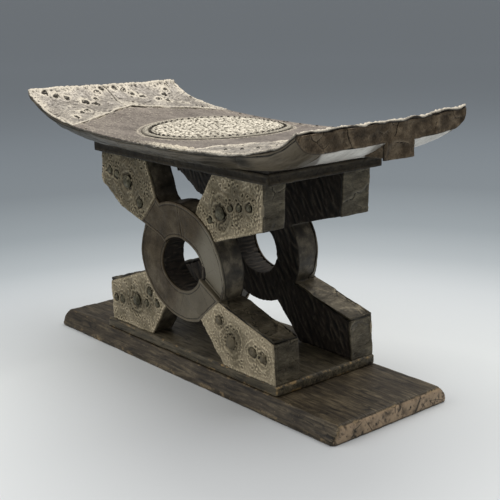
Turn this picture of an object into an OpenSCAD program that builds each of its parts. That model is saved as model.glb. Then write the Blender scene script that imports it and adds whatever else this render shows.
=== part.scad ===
// Carved stool on a knotted support, its timbers clad in embossed sheet metal.
// Origin: centre of the base's underside. +X runs along the length, +Z is up.
// The near side is -Y and the far side is +Y; left is -X and right is +X.

/* [Base] */
// Length of the base board
base_l = 440; // [430:5:480]
// Width of the base board at the floor
base_w = 149; // [149:1:160]
// Thickness of the base board
base_h = 17; // [15:1:22]
// Inward run of the bevel along each long edge
base_bevel = 10; // [6:1:10]
// Length of the plinth under the two frames
plinth_l = 277; // [277:1:300]
// Width of the plinth
plinth_w = 128; // [128:1:134]
// Thickness of the plinth
plinth_h = 10; // [9:1:14]

/* [Support frames] */
// Height of each frame from the plinth to the ledge
frame_h = 184; // [184:1:186]
// Timber thickness of a frame, with its face sheet
frame_t = 29; // [26:1:32]
// Distance between the outer faces of the two frames
frame_span = 126; // [122:1:128]
// How far the under strand is set back behind the over strand
strand_step = 3; // [2:0.5:6]
// How much thicker the far frame's upper right arm is than its near twin
far_arm_gain = 9; // [0:1:9]
// Half length of the ring
ring_rx = 66; // [64:1:68]
// Half height of the ring
ring_rz = 57; // [55:1:59]
// Half length of the hole through the ring
hole_rx = 31.5; // [28:0.5:34]
// Half height of the hole through the ring
hole_rz = 26.5; // [24:0.5:29]

/* [Ledge] */
// Length of the ledge between the frames and the seat
ledge_l = 273; // [266:1:280]
// Width of the ledge
ledge_w = 138; // [132:1:142]
// Thickness of the ledge at its middle
ledge_h = 9.5; // [8:0.5:12]

/* [Seat] */
// Length of the seat between its upturned ends
seat_l = 422; // [410:1:430]
// Width of the seat
seat_w = 204; // [198:1:210]
// Thickness of the seat at its middle
seat_t = 15; // [14:0.5:18]
// How much thicker the seat is at its ends
seat_t_gain = 2; // [1:0.5:6]
// Rise of the seat's ends above its middle
seat_rise = 30.5; // [24:0.5:36]
// Share of that rise made by the long even curve, the rest is the end flick
even_share = 0.45; // [0.35:0.05:0.7]
// Width of the flat belly under the seat
belly_w = 156; // [146:1:156]
// Width of the keel lug under each seat end
keel_w = 34; // [26:1:40]
// Depth of the keel lug at the seat end
keel_d = 15; // [8:1:16]

/* [Cladding] */
// Thickness of the sheet metal
sheet_t = 0.8; // [0.6:0.1:1.2]
// Half length of the round medallion on the seat
medallion_rx = 68; // [60:1:72]
// Half width of the round medallion on the seat
medallion_ry = 81; // [70:1:82]
// Radius of a border bead round the medallion
bead_r = 2.2; // [1.4:0.1:2.6]
// Beads round the medallion
bead_count = 60; // [48:1:72]
// Distance of the bead ring inside the medallion's edge
bead_inset = 8; // [5:1:12]

/* [Hidden] */

wood = [0.22, 0.17, 0.13];
bare_wood = [0.30, 0.23, 0.17];
peg_wood = [0.42, 0.33, 0.22];
band_metal = [0.40, 0.36, 0.31];
arm_metal = [0.55, 0.52, 0.44];
seat_metal = [0.80, 0.77, 0.70];
field_metal = [0.60, 0.56, 0.54];
side_metal = [0.45, 0.43, 0.40];
boss_metal = [0.36, 0.34, 0.30];

eps = 0.01;
curve_steps = 36;
ellipse_steps = 72;

// Levels
plinth_z = base_h;
foot_z = plinth_z + plinth_h;
head_z = foot_z + frame_h;
belly_mid_z = head_z + ledge_h;

// Frames: the inner face is the one that looks across the channel
frame_inner = frame_span / 2 - frame_t;
tenon_t = 12;
head_tenon_h = 6;

// Seat
seat_half = seat_l / 2;
board_half = seat_half - sheet_t;
side_half = seat_w / 2;
rim_h = 3;
keel_y = 12;
keel_run = 38;

// Pegs that hold the base to the plinth and the ledge to the seat
peg_r = 5;
base_peg_bottom = 7;
base_peg_top = foot_z - 3;
seat_peg_bottom = head_z + 2;
seat_peg_top = belly_mid_z + 9;

// Outline points of the arms and legs, as [x, height above the foot]. Their
// inner ends run on under the ring.
upper_left = [[-133, frame_h], [-135, 156], [-132, 149], [-100, 129], [-66, 119],
              [-40, 103], [-15, 123], [-40, 146], [-57, frame_h]];
upper_right = [[118, frame_h], [116, 138], [50, 118], [35, 103], [12, 123],
               [24, 147], [50, frame_h]];
far_upper_right = concat([[123, frame_h], [121, 138]],
                         [for (i = [2 : len(upper_right) - 1]) upper_right[i]]);
lower_left = [[-131, 0], [-132, 41], [-69, 64], [-50, 73], [-25, 48], [-34, 36], [-59, 0]];
lower_right = [[135, 0], [133, 38], [55, 60], [40, 69], [15, 48], [28, 37], [62, 0]];
ring_centre = [-4, 88];
ring_tilt = -18;
hole_centre = [-3, 86];
hole_tilt = -8;

// Where the over strand's sheet lies, and where the two outer seams cross
over_zone = [[-80, 123], [-32, 108], [-3, 86], [28, 76], [55, 61], [100, 61],
             [100, 200], [-60, 200]];
upper_seam = [[-66, 119], [-42, 145]];
lower_seam = [[28, 37], [55, 60]];
seam_reach = 60;

// Bosses on the arm and leg sheets, as [x, height above the foot, radius]
raised_bosses = [[-88, 156, 8], [-120, 164, 4.5], [-107, 161, 4.5], [-68, 137, 5.5],
                 [74, 25, 8], [105, 24, 5], [119, 22, 5], [56, 43, 4.5]];
set_back_bosses = [[58, 146, 8], [85, 155, 4], [99, 157, 4], [43, 137, 3.5], [73, 153, 3],
                   [-85, 30, 8], [-112, 25, 4.5], [-124, 24, 4], [-61, 44, 4.5], [-67, 31, 3.5],
                   [-48, 34, 4]];
boss_h = 2.2;

// Seams of the seat's top, as [x, y] from the near edge to the far edge
left_seam = [[-122, -side_half], [-141, -65], [-161, -21], [-170, 2], [-158, 20],
             [-144, 46], [-133, 67], [-112, side_half]];
right_seam = [[62, -side_half], [78, -66], [92, -22], [128, 0], [164, 22], [143, 46],
              [125, 67], [100, side_half]];
edge_strip_w = 10;
medallion_centre = [-27, 8];

// Bosses on the end panels, as [x, y, radius]
left_bosses = [[-206, -84, 3.8], [-201, -74, 3.4], [-196, -64, 3.4], [-191, -32, 3],
               [-202, -23, 3.6], [-206, -14, 3.4], [-206, 2, 3.4], [-203, 12, 3.4],
               [-196, 18, 3.6], [-189, 28, 3.6], [-186, -47, 4.5], [-181, -38, 4],
               [-167, -58, 3.4], [-164, -66, 3], [-152, -80, 3], [-204, 78, 3.6],
               [-198, 68, 3.6], [-190, 59, 3.6], [-179, 43, 4], [-174, 52, 3.6],
               [-161, 64, 3.2], [-153, 69, 3], [-145, 75, 3], [-138, 81, 3], [-131, 87, 3]];
right_bosses = [[198, -70, 4], [201, -30, 3.6], [197, 14, 4], [199, 58, 4],
                [172, -80, 4], [168, -40, 5], [176, 0, 4], [178, 40, 4.5],
                [160, 72, 4], [98, -84, 3.2], [109, -75, 3.4], [117, -64, 3.2], [126, -50, 3.4]];
far_nails = [for (x = [-84 : 24 : 84]) [x, side_half - edge_strip_w / 2, 2.4]];

// Height of the seat's top surface, and of its flat belly, at a given x
function top_z(x) =
    let (t = min(abs(x) / seat_half, 1))
    belly_mid_z + seat_t + seat_rise * (even_share * pow(t, 2) + (1 - even_share) * pow(t, 8));
function belly_z(x) =
    let (t = min(abs(x) / seat_half, 1))
    top_z(x) - seat_t - seat_t_gain * pow(t, 2);

stations = [for (i = [0 : curve_steps]) -board_half + 2 * board_half * i / curve_steps];
skin_stations = concat([-seat_half], stations, [seat_half]);

function reversed(list) = [for (i = [len(list) - 1 : -1 : 0]) list[i]];
function inside(list, low, high) = [for (x = list) if (x > low + eps && x < high - eps) x];
function ellipse_points(centre, rx, ry, tilt) = [
    for (i = [0 : ellipse_steps - 1])
        let (a = 360 * i / ellipse_steps, u = rx * cos(a), v = ry * sin(a))
        [centre[0] + u * cos(tilt) - v * sin(tilt), centre[1] + u * sin(tilt) + v * cos(tilt)]
];

// A slab that follows the seat's top, from low to high measured from top_z
module top_layer(low, high) {
    translate([0, side_half, 0])
        rotate([90, 0, 0])
            linear_extrude(seat_w)
                polygon(concat(
                    [for (x = skin_stations) [x, top_z(x) + low]],
                    [for (x = reversed(skin_stations)) [x, top_z(x) + high]]));
}

// A top sheet cut to a plan outline
module top_sheet(outline, low, high) {
    intersection() {
        top_layer(low, high);
        translate([0, 0, head_z]) linear_extrude(120) polygon(outline);
    }
}

// A solid through one closed [y, z] section per x, its triangles all one way round
module loft(xs, sections) {
    n = len(sections[0]);
    last = len(xs) - 1;
    ring = sections[0];
    turn = [for (j = [0 : n - 1])
        let (p = ring[j], q = ring[(j + 1) % n]) p[0] * q[1] - q[0] * p[1]];
    clockwise = turn * [for (j = [0 : n - 1]) 1] < 0;
    sides = [for (i = [0 : last - 1], j = [0 : n - 1], half = [0, 1])
        let (a = i * n + j, b = i * n + (j + 1) % n)
        half == 0 ? [a, b + n, b] : [a, a + n, b + n]];
    halves = [for (j = [0 : n / 2 - 2]) [j, j + 1, n - 2 - j, n - 1 - j]];
    caps = concat(halves, [for (f = halves) reversed([for (k = f) last * n + k])]);
    faces = concat(caps, sides);
    polyhedron(
        points = [for (i = [0 : last], p = sections[i]) [xs[i], p[0], p[1]]],
        faces = clockwise ? [for (f = faces) reversed(f)] : faces);
}

function board_section(x) = [
    [-side_half + 1, top_z(x) - sheet_t], [side_half - 1, top_z(x) - sheet_t],
    [side_half - 1, top_z(x) - rim_h], [belly_w / 2, belly_z(x)],
    [-belly_w / 2, belly_z(x)], [-side_half + 1, top_z(x) - rim_h]
];

// Place something drawn in [x, height above the foot] between two depths of
// the near frame, measured outwards from its inner face
module frame_slab(depth_low, depth_high) {
    translate([0, -frame_inner - depth_low, foot_z])
        rotate([90, 0, 0])
            linear_extrude(depth_high - depth_low)
                children();
}

module ring_shape() {
    polygon(ellipse_points(ring_centre, ring_rx, ring_rz, ring_tilt));
}

module hole_shape() {
    polygon(ellipse_points(hole_centre, hole_rx, hole_rz, hole_tilt));
}

// The over strand's plane: the ring, the upper left arm and the lower right leg
module raised_shape() {
    difference() {
        union() {
            ring_shape();
            polygon(upper_left);
            polygon(lower_right);
        }
        hole_shape();
    }
}

// The set-back plane: what shows of the other arm and leg outside the ring
module set_back_shape(outline) {
    difference() {
        polygon(outline);
        raised_shape();
    }
}

// The half of the drawing beyond a seam, on the side away from the ring
module beyond(seam, side) {
    run = seam[1] - seam[0];
    step = run / norm(run);
    away = side * 200 * [-step[1], step[0]];
    low = seam[0] - seam_reach * step;
    high = seam[1] + seam_reach * step;
    polygon([low, high, high + away, low + away]);
}

raised_depth = frame_t - sheet_t;
set_back_depth = raised_depth - strand_step;
far_arm_depth = set_back_depth + far_arm_gain;

// One frame, drawn as the near one. Its upper right arm has its own outline and thickness.
module frame_timber(arm, arm_depth) {
    frame_slab(0, raised_depth) raised_shape();
    frame_slab(0, arm_depth) set_back_shape(arm);
    frame_slab(0, set_back_depth) set_back_shape(lower_left);
    for (place = [[-95, 40], [95, 40]])
        tenon(place[0], place[1], plinth_z, foot_z + eps);
    for (place = [[-95, 44], [84, 44]])
        tenon(place[0], place[1], head_z - eps, head_z + head_tenon_h);
}

// One stub tenon, in the middle of the near frame's thinner part
module tenon(x, length, low, high) {
    translate([x - length / 2, -frame_inner - (set_back_depth + tenon_t) / 2, low])
        cube([length, tenon_t, high - low]);
}

module both_sides() {
    children();
    mirror([0, 1, 0]) children();
}

module foot_tenon_pockets() {
    both_sides()
        for (x = [-95, 95])
            tenon(x, 40, plinth_z - 1, foot_z + 1);
}

module head_tenon_pockets() {
    both_sides()
        for (x = [-95, 84])
            tenon(x, 44, head_z - 1, head_z + head_tenon_h);
}

module pegs(low, high) {
    for (x = [-60, 60], y = [-16, 16])
        translate([x, y, low])
            cylinder(r = peg_r, h = high - low, $fn = 32);
}

module base_board() {
    color(wood)
        difference() {
            translate([-base_l / 2, 0, 0])
                rotate([90, 0, 90])
                    linear_extrude(base_l)
                        polygon([[-base_w / 2, 0], [base_w / 2, 0],
                                 [base_w / 2, 4], [base_w / 2 - base_bevel, base_h],
                                 [-base_w / 2 + base_bevel, base_h], [-base_w / 2, 4]]);
            pegs(base_peg_bottom, base_h + 1);
        }
}

module plinth() {
    color(wood)
        difference() {
            translate([-plinth_l / 2, -plinth_w / 2, plinth_z])
                cube([plinth_l, plinth_w, plinth_h]);
            foot_tenon_pockets();
            pegs(plinth_z - 1, base_peg_top);
        }
}

module base_pegs() {
    color(peg_wood) pegs(base_peg_bottom, base_peg_top);
}

module near_frame() {
    color(bare_wood) frame_timber(upper_right, set_back_depth);
}

module far_frame() {
    color(bare_wood) mirror([0, 1, 0]) frame_timber(far_upper_right, far_arm_depth);
}

module ledge() {
    half = ledge_l / 2;
    xs = concat([-half], inside(stations, -half, half), [half]);
    color(wood)
        difference() {
            translate([0, ledge_w / 2, 0])
                rotate([90, 0, 0])
                    linear_extrude(ledge_w)
                        polygon(concat([[-half, head_z], [half, head_z]],
                                       [for (x = reversed(xs)) [x, belly_on_chord(x)]]));
            head_tenon_pockets();
            pegs(seat_peg_bottom, seat_peg_top + 20);
        }
}

// The belly's height on the straight runs between the stations
function belly_on_chord(x) =
    let (step = 2 * board_half / curve_steps,
         i = max(0, min(curve_steps - 1, floor((x + board_half) / step))),
         f = (x - stations[i]) / step)
    belly_z(stations[i]) * (1 - f) + belly_z(stations[i + 1]) * f;

// The keel lug under one seat end, drawn at the right end
module keel() {
    start = board_half - keel_run;
    xs = concat([start], inside(stations, start, board_half), [board_half]);
    translate([0, keel_y + keel_w / 2, 0])
        rotate([90, 0, 0])
            linear_extrude(keel_w)
                polygon(concat([for (x = xs) [x, belly_z(x) + 2]],
                               [[board_half, belly_z(board_half) - keel_d],
                                [start, belly_on_chord(start) - eps]]));
}

module seat_board() {
    color(wood)
        difference() {
            union() {
                loft(stations, [for (x = stations) board_section(x)]);
                keel();
                mirror([1, 0, 0]) keel();
            }
            pegs(belly_mid_z - 5, seat_peg_top);
        }
}

module seat_pegs() {
    color(peg_wood) pegs(seat_peg_bottom, seat_peg_top);
}

// Face sheets of the near frame
module over_band() {
    frame_slab(raised_depth, frame_t)
        difference() {
            intersection() {
                raised_shape();
                polygon(over_zone);
            }
            beyond(upper_seam, 1);
        }
}

module under_band() {
    frame_slab(raised_depth, frame_t)
        difference() {
            raised_shape();
            polygon(over_zone);
            beyond(upper_seam, 1);
            beyond(lower_seam, -1);
        }
}

module upper_left_sheet() {
    frame_slab(raised_depth, frame_t)
        intersection() {
            difference() {
                polygon(upper_left);
                hole_shape();
            }
            beyond(upper_seam, 1);
        }
}

module lower_right_sheet() {
    frame_slab(raised_depth, frame_t)
        intersection() {
            difference() {
                polygon(lower_right);
                hole_shape();
            }
            beyond(lower_seam, -1);
        }
}

module set_back_sheet(outline, depth) {
    frame_slab(depth, depth + sheet_t) set_back_shape(outline);
}

// A sheet bent over a narrow edge: the edge's points, moved out by one sheet
module edge_sheet(points, out, depth) {
    frame_slab(0, depth)
        polygon(concat(points, reversed([for (p = points) p + out])));
}

module end_caps(arm, arm_depth) {
    left = [-sheet_t, 0];
    right = [sheet_t, 0];
    edge_sheet([upper_left[0], upper_left[1], upper_left[2]], left, raised_depth);
    edge_sheet([lower_right[0], lower_right[1]], right, raised_depth);
    edge_sheet([arm[0], arm[1]], right, arm_depth);
    edge_sheet([lower_left[0], lower_left[1]], left, set_back_depth);
}

module leg_top_sheets() {
    up = [0, sheet_t];
    edge_sheet([lower_right[1], lower_right[2]], up, raised_depth);
    edge_sheet([lower_left[1], lower_left[2]], up, set_back_depth);
}

// A low domed boss or nail head, standing on z = 0
module boss(r, h) {
    cylinder(r1 = r, r2 = 0.8 * r, h = 0.45 * h, $fn = 24);
    translate([0, 0, 0.45 * h])
        cylinder(r1 = 0.8 * r, r2 = 0.35 * r, h = 0.55 * h, $fn = 24);
}

module frame_bosses(arm_depth) {
    for (b = raised_bosses)
        translate([b[0], -frame_inner - frame_t, foot_z + b[1]])
            rotate([90, 0, 0]) boss(b[2], boss_h);
    for (b = set_back_bosses) {
        depth = b[1] > ring_centre[1] ? arm_depth : set_back_depth;
        translate([b[0], -frame_inner - depth - sheet_t, foot_z + b[1]])
            rotate([90, 0, 0]) boss(b[2], boss_h);
    }
}

module ledge_side_strips() {
    color(side_metal)
        both_sides()
            translate([-ledge_l / 2, -ledge_w / 2 - sheet_t, head_z])
                cube([ledge_l, sheet_t, ledge_h - sheet_t]);
}

module ledge_end_strips() {
    color(side_metal)
        for (side = [0, 1])
            mirror([side, 0, 0])
                translate([ledge_l / 2, -ledge_w / 2, head_z])
                    cube([sheet_t, ledge_w, ledge_h]);
}

// Outlines of the seat's top sheets
near_in = -side_half + edge_strip_w;
far_in = side_half - edge_strip_w;

module seat_field_sheet() {
    color(field_metal)
        intersection() {
            top_sheet(concat(left_seam, reversed(right_seam)), -sheet_t, 0);
            translate([-seat_half, near_in, head_z]) cube([seat_l, far_in - near_in, 120]);
        }
}

module medallion_sheet() {
    color(seat_metal)
        top_sheet(ellipse_points(medallion_centre, medallion_rx, medallion_ry, 0), 0, sheet_t);
}

module medallion_beads() {
    color(boss_metal)
        difference() {
            for (i = [0 : bead_count - 1]) {
                a = 360 * i / bead_count;
                x = medallion_centre[0] + (medallion_rx - bead_inset) * cos(a);
                y = medallion_centre[1] + (medallion_ry - bead_inset) * sin(a);
                translate([x, y, top_z(x)]) boss(bead_r, 2 * bead_r);
            }
            top_layer(-20, sheet_t);
        }
}

module left_end_panel() {
    color(seat_metal)
        top_sheet(concat([[-seat_half, -side_half]], left_seam, [[-seat_half, side_half]]),
                  -sheet_t, 0);
}

module right_end_panel() {
    color(seat_metal)
        top_sheet(concat([[seat_half, -side_half]], right_seam, [[seat_half, side_half]]),
                  -sheet_t, 0);
}

// The part of the band between the two seams that lies along one long edge
module edge_strip(low, high) {
    intersection() {
        top_sheet(concat(left_seam, reversed(right_seam)), -sheet_t, 0);
        translate([-seat_half, low, head_z]) cube([seat_l, high - low, 120]);
    }
}

module near_edge_strip() {
    color(seat_metal) edge_strip(-side_half, near_in);
}

module far_edge_strip() {
    color(seat_metal) edge_strip(far_in, side_half);
}

// The sheet down one long side: a short rim, then the slope down to the belly
function side_section(x, side) = [
    [side * belly_w / 2, belly_z(x)],
    [side * (side_half - 1), top_z(x) - rim_h],
    [side * (side_half - 1), top_z(x) - sheet_t],
    [side * side_half, top_z(x) - sheet_t],
    [side * side_half, top_z(x) - rim_h - 0.5],
    [side * (belly_w / 2 + 0.5), belly_z(x) - sheet_t]
];

module near_side_sheet() {
    color(side_metal) loft(stations, [for (x = stations) side_section(x, -1)]);
}

module far_side_sheet() {
    color(side_metal) loft(stations, [for (x = stations) reversed(side_section(x, 1))]);
}

// The sheet under the seat, around the ledge and the keel lugs
module belly_sheet() {
    keel_start = board_half - keel_run;
    color(side_metal)
        intersection() {
            translate([0, side_half, 0])
                rotate([90, 0, 0])
                    linear_extrude(seat_w)
                        polygon(concat([for (x = stations) [x, belly_z(x)]],
                                       [for (x = reversed(stations)) [x, belly_z(x) - sheet_t]]));
            translate([0, 0, head_z])
                linear_extrude(80)
                    difference() {
                        square([2 * board_half, belly_w], center = true);
                        square([ledge_l + 2 * sheet_t, ledge_w + 2 * sheet_t], center = true);
                        for (side = [0, 1])
                            mirror([side, 0])
                                translate([keel_start, keel_y - keel_w / 2])
                                    square([keel_run + 1, keel_w]);
                    }
        }
}

// The sheet over a seat end and its keel lug, drawn at the right end
module end_sheet() {
    outline = board_section(board_half);
    low = belly_z(board_half);
    keel_outline = [[keel_y + keel_w / 2, low], [keel_y + keel_w / 2, low - keel_d],
                    [keel_y - keel_w / 2, low - keel_d], [keel_y - keel_w / 2, low]];
    translate([board_half, 0, 0])
        rotate([90, 0, 90])
            linear_extrude(sheet_t)
                polygon(concat([for (i = [0 : 3]) outline[i]], keel_outline,
                               [for (i = [4 : 5]) outline[i]]));
}

module left_end_sheet() {
    color(wood) mirror([1, 0, 0]) end_sheet();
}

module right_end_sheet() {
    color(wood) end_sheet();
}

// Bosses on a curved top sheet, trimmed so that they sit on it
module top_bosses(list) {
    difference() {
        for (b = list)
            translate([b[0], b[1], top_z(b[0]) - 1])
                boss(b[2], boss_h + 1);
        top_layer(-20, 0);
    }
}

module left_panel_bosses() {
    color(boss_metal) top_bosses(left_bosses);
}

module right_panel_bosses() {
    color(boss_metal) top_bosses(right_bosses);
}

module far_edge_nails() {
    color(boss_metal) top_bosses(far_nails);
}

base_board();
plinth();
base_pegs();
near_frame();
far_frame();
ledge();
seat_board();
seat_pegs();
color(band_metal) over_band();  // near_over_band
color(band_metal) under_band();  // near_under_band
color(arm_metal) upper_left_sheet();  // near_upper_left_sheet
color(arm_metal) set_back_sheet(upper_right, set_back_depth);  // near_upper_right_sheet
color(arm_metal) set_back_sheet(lower_left, set_back_depth);  // near_lower_left_sheet
color(arm_metal) lower_right_sheet();  // near_lower_right_sheet
color(side_metal) end_caps(upper_right, set_back_depth);  // near_end_caps
color(side_metal) leg_top_sheets();  // near_leg_top_sheets
color(boss_metal) frame_bosses(set_back_depth);  // near_bosses
color(band_metal) mirror([0, 1, 0]) over_band();  // far_over_band
color(band_metal) mirror([0, 1, 0]) under_band();  // far_under_band
color(arm_metal) mirror([0, 1, 0]) upper_left_sheet();  // far_upper_left_sheet
color(arm_metal) mirror([0, 1, 0]) set_back_sheet(far_upper_right, far_arm_depth);  // far_upper_right_sheet
color(arm_metal) mirror([0, 1, 0]) set_back_sheet(lower_left, set_back_depth);  // far_lower_left_sheet
color(arm_metal) mirror([0, 1, 0]) lower_right_sheet();  // far_lower_right_sheet
color(side_metal) mirror([0, 1, 0]) end_caps(far_upper_right, far_arm_depth);  // far_end_caps
color(side_metal) mirror([0, 1, 0]) leg_top_sheets();  // far_leg_top_sheets
color(boss_metal) mirror([0, 1, 0]) frame_bosses(far_arm_depth);  // far_bosses
ledge_side_strips();
ledge_end_strips();
seat_field_sheet();
medallion_sheet();
medallion_beads();
left_end_panel();
right_end_panel();
near_edge_strip();
far_edge_strip();
near_side_sheet();
far_side_sheet();
belly_sheet();
left_end_sheet();
right_end_sheet();
left_panel_bosses();
right_panel_bosses();
far_edge_nails();
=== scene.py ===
"""A carved stool clad in embossed sheet metal: looks, floor, light and camera.

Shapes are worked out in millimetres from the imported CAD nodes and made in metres.
Each sheet is cut from the outline of its CAD node, filled with a fine mesh and
embossed. Each timber is its CAD node's own shape, remeshed and carved.
"""
import itertools
import math

import bmesh
import bpy
import numpy as np
from mathutils import Matrix, Vector
from mathutils.bvhtree import BVHTree
from mathutils.geometry import delaunay_2d_cdt


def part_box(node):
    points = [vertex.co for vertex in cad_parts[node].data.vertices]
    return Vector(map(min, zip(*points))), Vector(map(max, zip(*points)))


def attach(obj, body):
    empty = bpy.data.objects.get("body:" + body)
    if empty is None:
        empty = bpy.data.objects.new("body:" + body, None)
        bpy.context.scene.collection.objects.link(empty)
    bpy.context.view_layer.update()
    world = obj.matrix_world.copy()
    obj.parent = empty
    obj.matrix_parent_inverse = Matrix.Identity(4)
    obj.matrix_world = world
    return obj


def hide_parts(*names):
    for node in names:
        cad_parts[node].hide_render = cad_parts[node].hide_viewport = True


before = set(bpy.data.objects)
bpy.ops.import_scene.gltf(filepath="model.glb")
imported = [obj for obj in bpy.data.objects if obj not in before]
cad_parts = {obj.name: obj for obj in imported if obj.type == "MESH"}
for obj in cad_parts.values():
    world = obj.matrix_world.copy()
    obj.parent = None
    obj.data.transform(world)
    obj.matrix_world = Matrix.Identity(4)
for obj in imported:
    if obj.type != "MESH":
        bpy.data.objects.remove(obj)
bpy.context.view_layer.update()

BODY = "root"
MM = 0.001
X, Y, Z = range(3)
NEAR, FAR = -1, 1
LEFT, RIGHT = -1, 1
DOWN, UP = -1, 1


def box_mm(node):
    """Lowest and highest corner of a CAD node, in mm."""
    low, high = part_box(node)
    return np.array(low) / MM, np.array(high) / MM


# The seat's top surface: a long even curve and a flick at the two ends
SHEET_T = 0.8
FIELD_LOW = box_mm("seat_field_sheet")[0]
PANEL_LOW, PANEL_HIGH = box_mm("left_end_panel")
SEAT_HALF = -PANEL_LOW[0]
SEAT_SIDE = -PANEL_LOW[1]
SEAT_MID = FIELD_LOW[2] + SHEET_T
SEAT_RISE = PANEL_HIGH[2] - SEAT_MID
EVEN_SHARE = 0.45
FLICK_POWER = 8
CURVE_END = 1.03
SEAT_T = 15
SEAT_T_GAIN = 2
BELLY_SIDE = box_mm("belly_sheet")[1][1]
SIDE_RUN = 31
RIM_DROP = 2.0
SIDE_BULGE = 2.5
END_BULGE = 2
FAR_EDGE_IN = 14
FLARE_OUT = 4.5
END_SHIFT = 3
CORNERS = ((LEFT, NEAR, 5), (LEFT, FAR, 9), (RIGHT, NEAR, 3), (RIGHT, FAR, 9))
BEAD_INSET = 8
MEDALLION_LIFT = 0.6
# Where the over strand's lower edge crosses each ring, as (x, z), and the two seams on it
CROSSING = [(-80, 150), (-32, 135), (-3, 113), (28, 103), (55, 88), (100, 88)]
LEFT_SEAM = CROSSING[:2]
RIGHT_SEAM = CROSSING[3:5]
# Each strand's dip where it passes under the other: which side, mm deep and how far it reaches
OVER_DIP = (RIGHT, RIGHT_SEAM, 4.5, 45)
UNDER_DIP = (LEFT, LEFT_SEAM, 3.5, 40)
# Where the left end panel's corner has lifted off the field, as (x, y)
LIFTED = [(-169, 0), (-163, 12)]
# The join across the over strand's sheet, as (x, z)
OVER_JOIN = [(-5, 175), (-3, 160), (-1, 150), (1, 138)]
MEDALLION_LOW, MEDALLION_HIGH = box_mm("medallion_sheet")
MEDALLION_CENTRE = (MEDALLION_LOW + MEDALLION_HIGH)[:2] / 2
MEDALLION_RADII = (MEDALLION_HIGH - MEDALLION_LOW)[:2] / 2

# The split that runs in from the left end, as (x, y)
PANEL_CRACK = [(-SEAT_HALF, -11), (-207, -8), (-197, -7), (-184, -9), (-170, -7)]

# The hole through each ring, as it stands in the frames: x, z, radii and tilt
HOLE_CENTRE = (-3, 113)
HOLE_RADII = (31.5, 26.5)
HOLE_TILT = math.radians(-8)

# A face belongs to the skin on one side if it leans less than this from it, as a cosine
SKIN_COSINE = 0.6
# Points of a CAD node closer than this are one point
WELD_MM = 0.01
# How far outside a CAD node a ray starts that looks for its skin
RAY_MM = 20


# ---------------------------------------------------------------- noise

RANDOM = np.random.default_rng(7)
SHUFFLE = RANDOM.permutation(256)
DIRECTIONS = RANDOM.normal(size=(256, 3))
DIRECTIONS /= np.linalg.norm(DIRECTIONS, axis=1)[:, None]
SCATTER = RANDOM.random((256, 3))


def norms(vectors):
    return np.linalg.norm(vectors, axis=1)


def unit(vectors):
    return vectors / norms(vectors)[:, None]


def as_3d(points):
    """The points with a zero third coordinate if they have only two."""
    if points.shape[1] == 3:
        return points
    return np.column_stack([points, np.zeros(len(points))])


def cell_number(cell, seed):
    """A repeatable number from 0 to 255 for each whole-number cell of a plane or of space."""
    number = seed
    for column in (*cell.T, 0)[:3]:
        number = SHUFFLE[(column + number) & 255]
    return number


def noise(points, size, seed=0):
    """Smooth noise from about -1 to 1, with features about size across."""
    scaled = as_3d(points) / size
    cell = np.floor(scaled).astype(int)
    within = scaled - cell
    fade = within ** 3 * (within * (within * 6 - 15) + 10)
    total = np.zeros(len(points))
    for corner in itertools.product((0, 1), repeat=3):
        slopes = DIRECTIONS[cell_number(cell + corner, seed)]
        value = ((within - corner) * slopes).sum(1)
        total += np.where(corner, fade, 1 - fade).prod(1) * value
    return 1.6 * total


def fractal(points, size, seed=0, octaves=4, gain=0.5):
    """Noise at several sizes, each half the one before."""
    total = np.zeros(len(points))
    for octave in range(octaves):
        total += gain ** octave * noise(points, size / 2 ** octave, seed + 31 * octave)
    return total


def creases(points, size, seed=0):
    """Sharp ridges at 1 with broad hollows between them, as in crumpled sheet."""
    return 1 - 2 * np.abs(noise(points, size, seed))


def warped(uv, amount, size, seed):
    """The points shifted about by noise, to make what is drawn on them irregular."""
    shift = np.column_stack([noise(uv, size, seed), noise(uv, size, seed + 1)])
    return uv + amount * shift


def cells_about(scaled, margin, seed):
    """From each point to the centre in its own cell and in the eight round it, and the cell's number."""
    cell = np.floor(scaled).astype(int)
    for offset in itertools.product((-1, 0, 1), repeat=2):
        here = cell + offset
        number = cell_number(here, seed)
        yield scaled - here - margin - (1 - 2 * margin) * SCATTER[number, :2], number


def scattered(uv, size, seed=0):
    """Distance to the nearest of a scatter of centres, one to a cell, and that centre's own number."""
    nearest = np.full(len(uv), 9.0)
    tag = np.zeros(len(uv))
    for away, number in cells_about(uv / size, 0.1, seed):
        distance = norms(away)
        closer = distance < nearest
        nearest[closer] = distance[closer]
        tag[closer] = SCATTER[number[closer], 2]
    return nearest * size, tag


def facets(uv, size, seed, slope):
    """Flats that each lean their own way, as in crumpled sheet, and the distance from their creases."""
    first, second = np.full((2, len(uv)), 9.0)
    total, weights = np.full((2, len(uv)), 1e-9)
    for away, number in cells_about(uv / size, 0.15, seed):
        distance = norms(away)
        second = np.minimum(second, np.maximum(first, distance))
        first = np.minimum(first, distance)
        weight = np.exp(-14 * distance)
        total += weight * slope * size * (away * DIRECTIONS[number, :2]).sum(1)
        weights += weight
    return total / weights, (second - first) * size


def ripples(uv, wavelength, seed=0, waves=14):
    """Winding ridges of even width, from about -1 to 1: many plane waves added up."""
    rng = np.random.default_rng(seed)
    total = np.zeros(len(uv))
    for angle, phase, stretch in rng.random((waves, 3)):
        turn = math.pi * angle
        step = 2 * math.pi / (wavelength * (0.85 + 0.3 * stretch))
        total += np.sin(step * (uv[:, 0] * math.cos(turn) + uv[:, 1] * math.sin(turn))
                        + 2 * math.pi * phase)
    return total / math.sqrt(waves / 2)


def bump_at(distance, radius, width):
    """A round ridge of height 1 at a given distance."""
    return np.exp(-((distance - radius) / width) ** 2)


# ---------------------------------------------------------------- cutting and filling sheets

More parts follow.
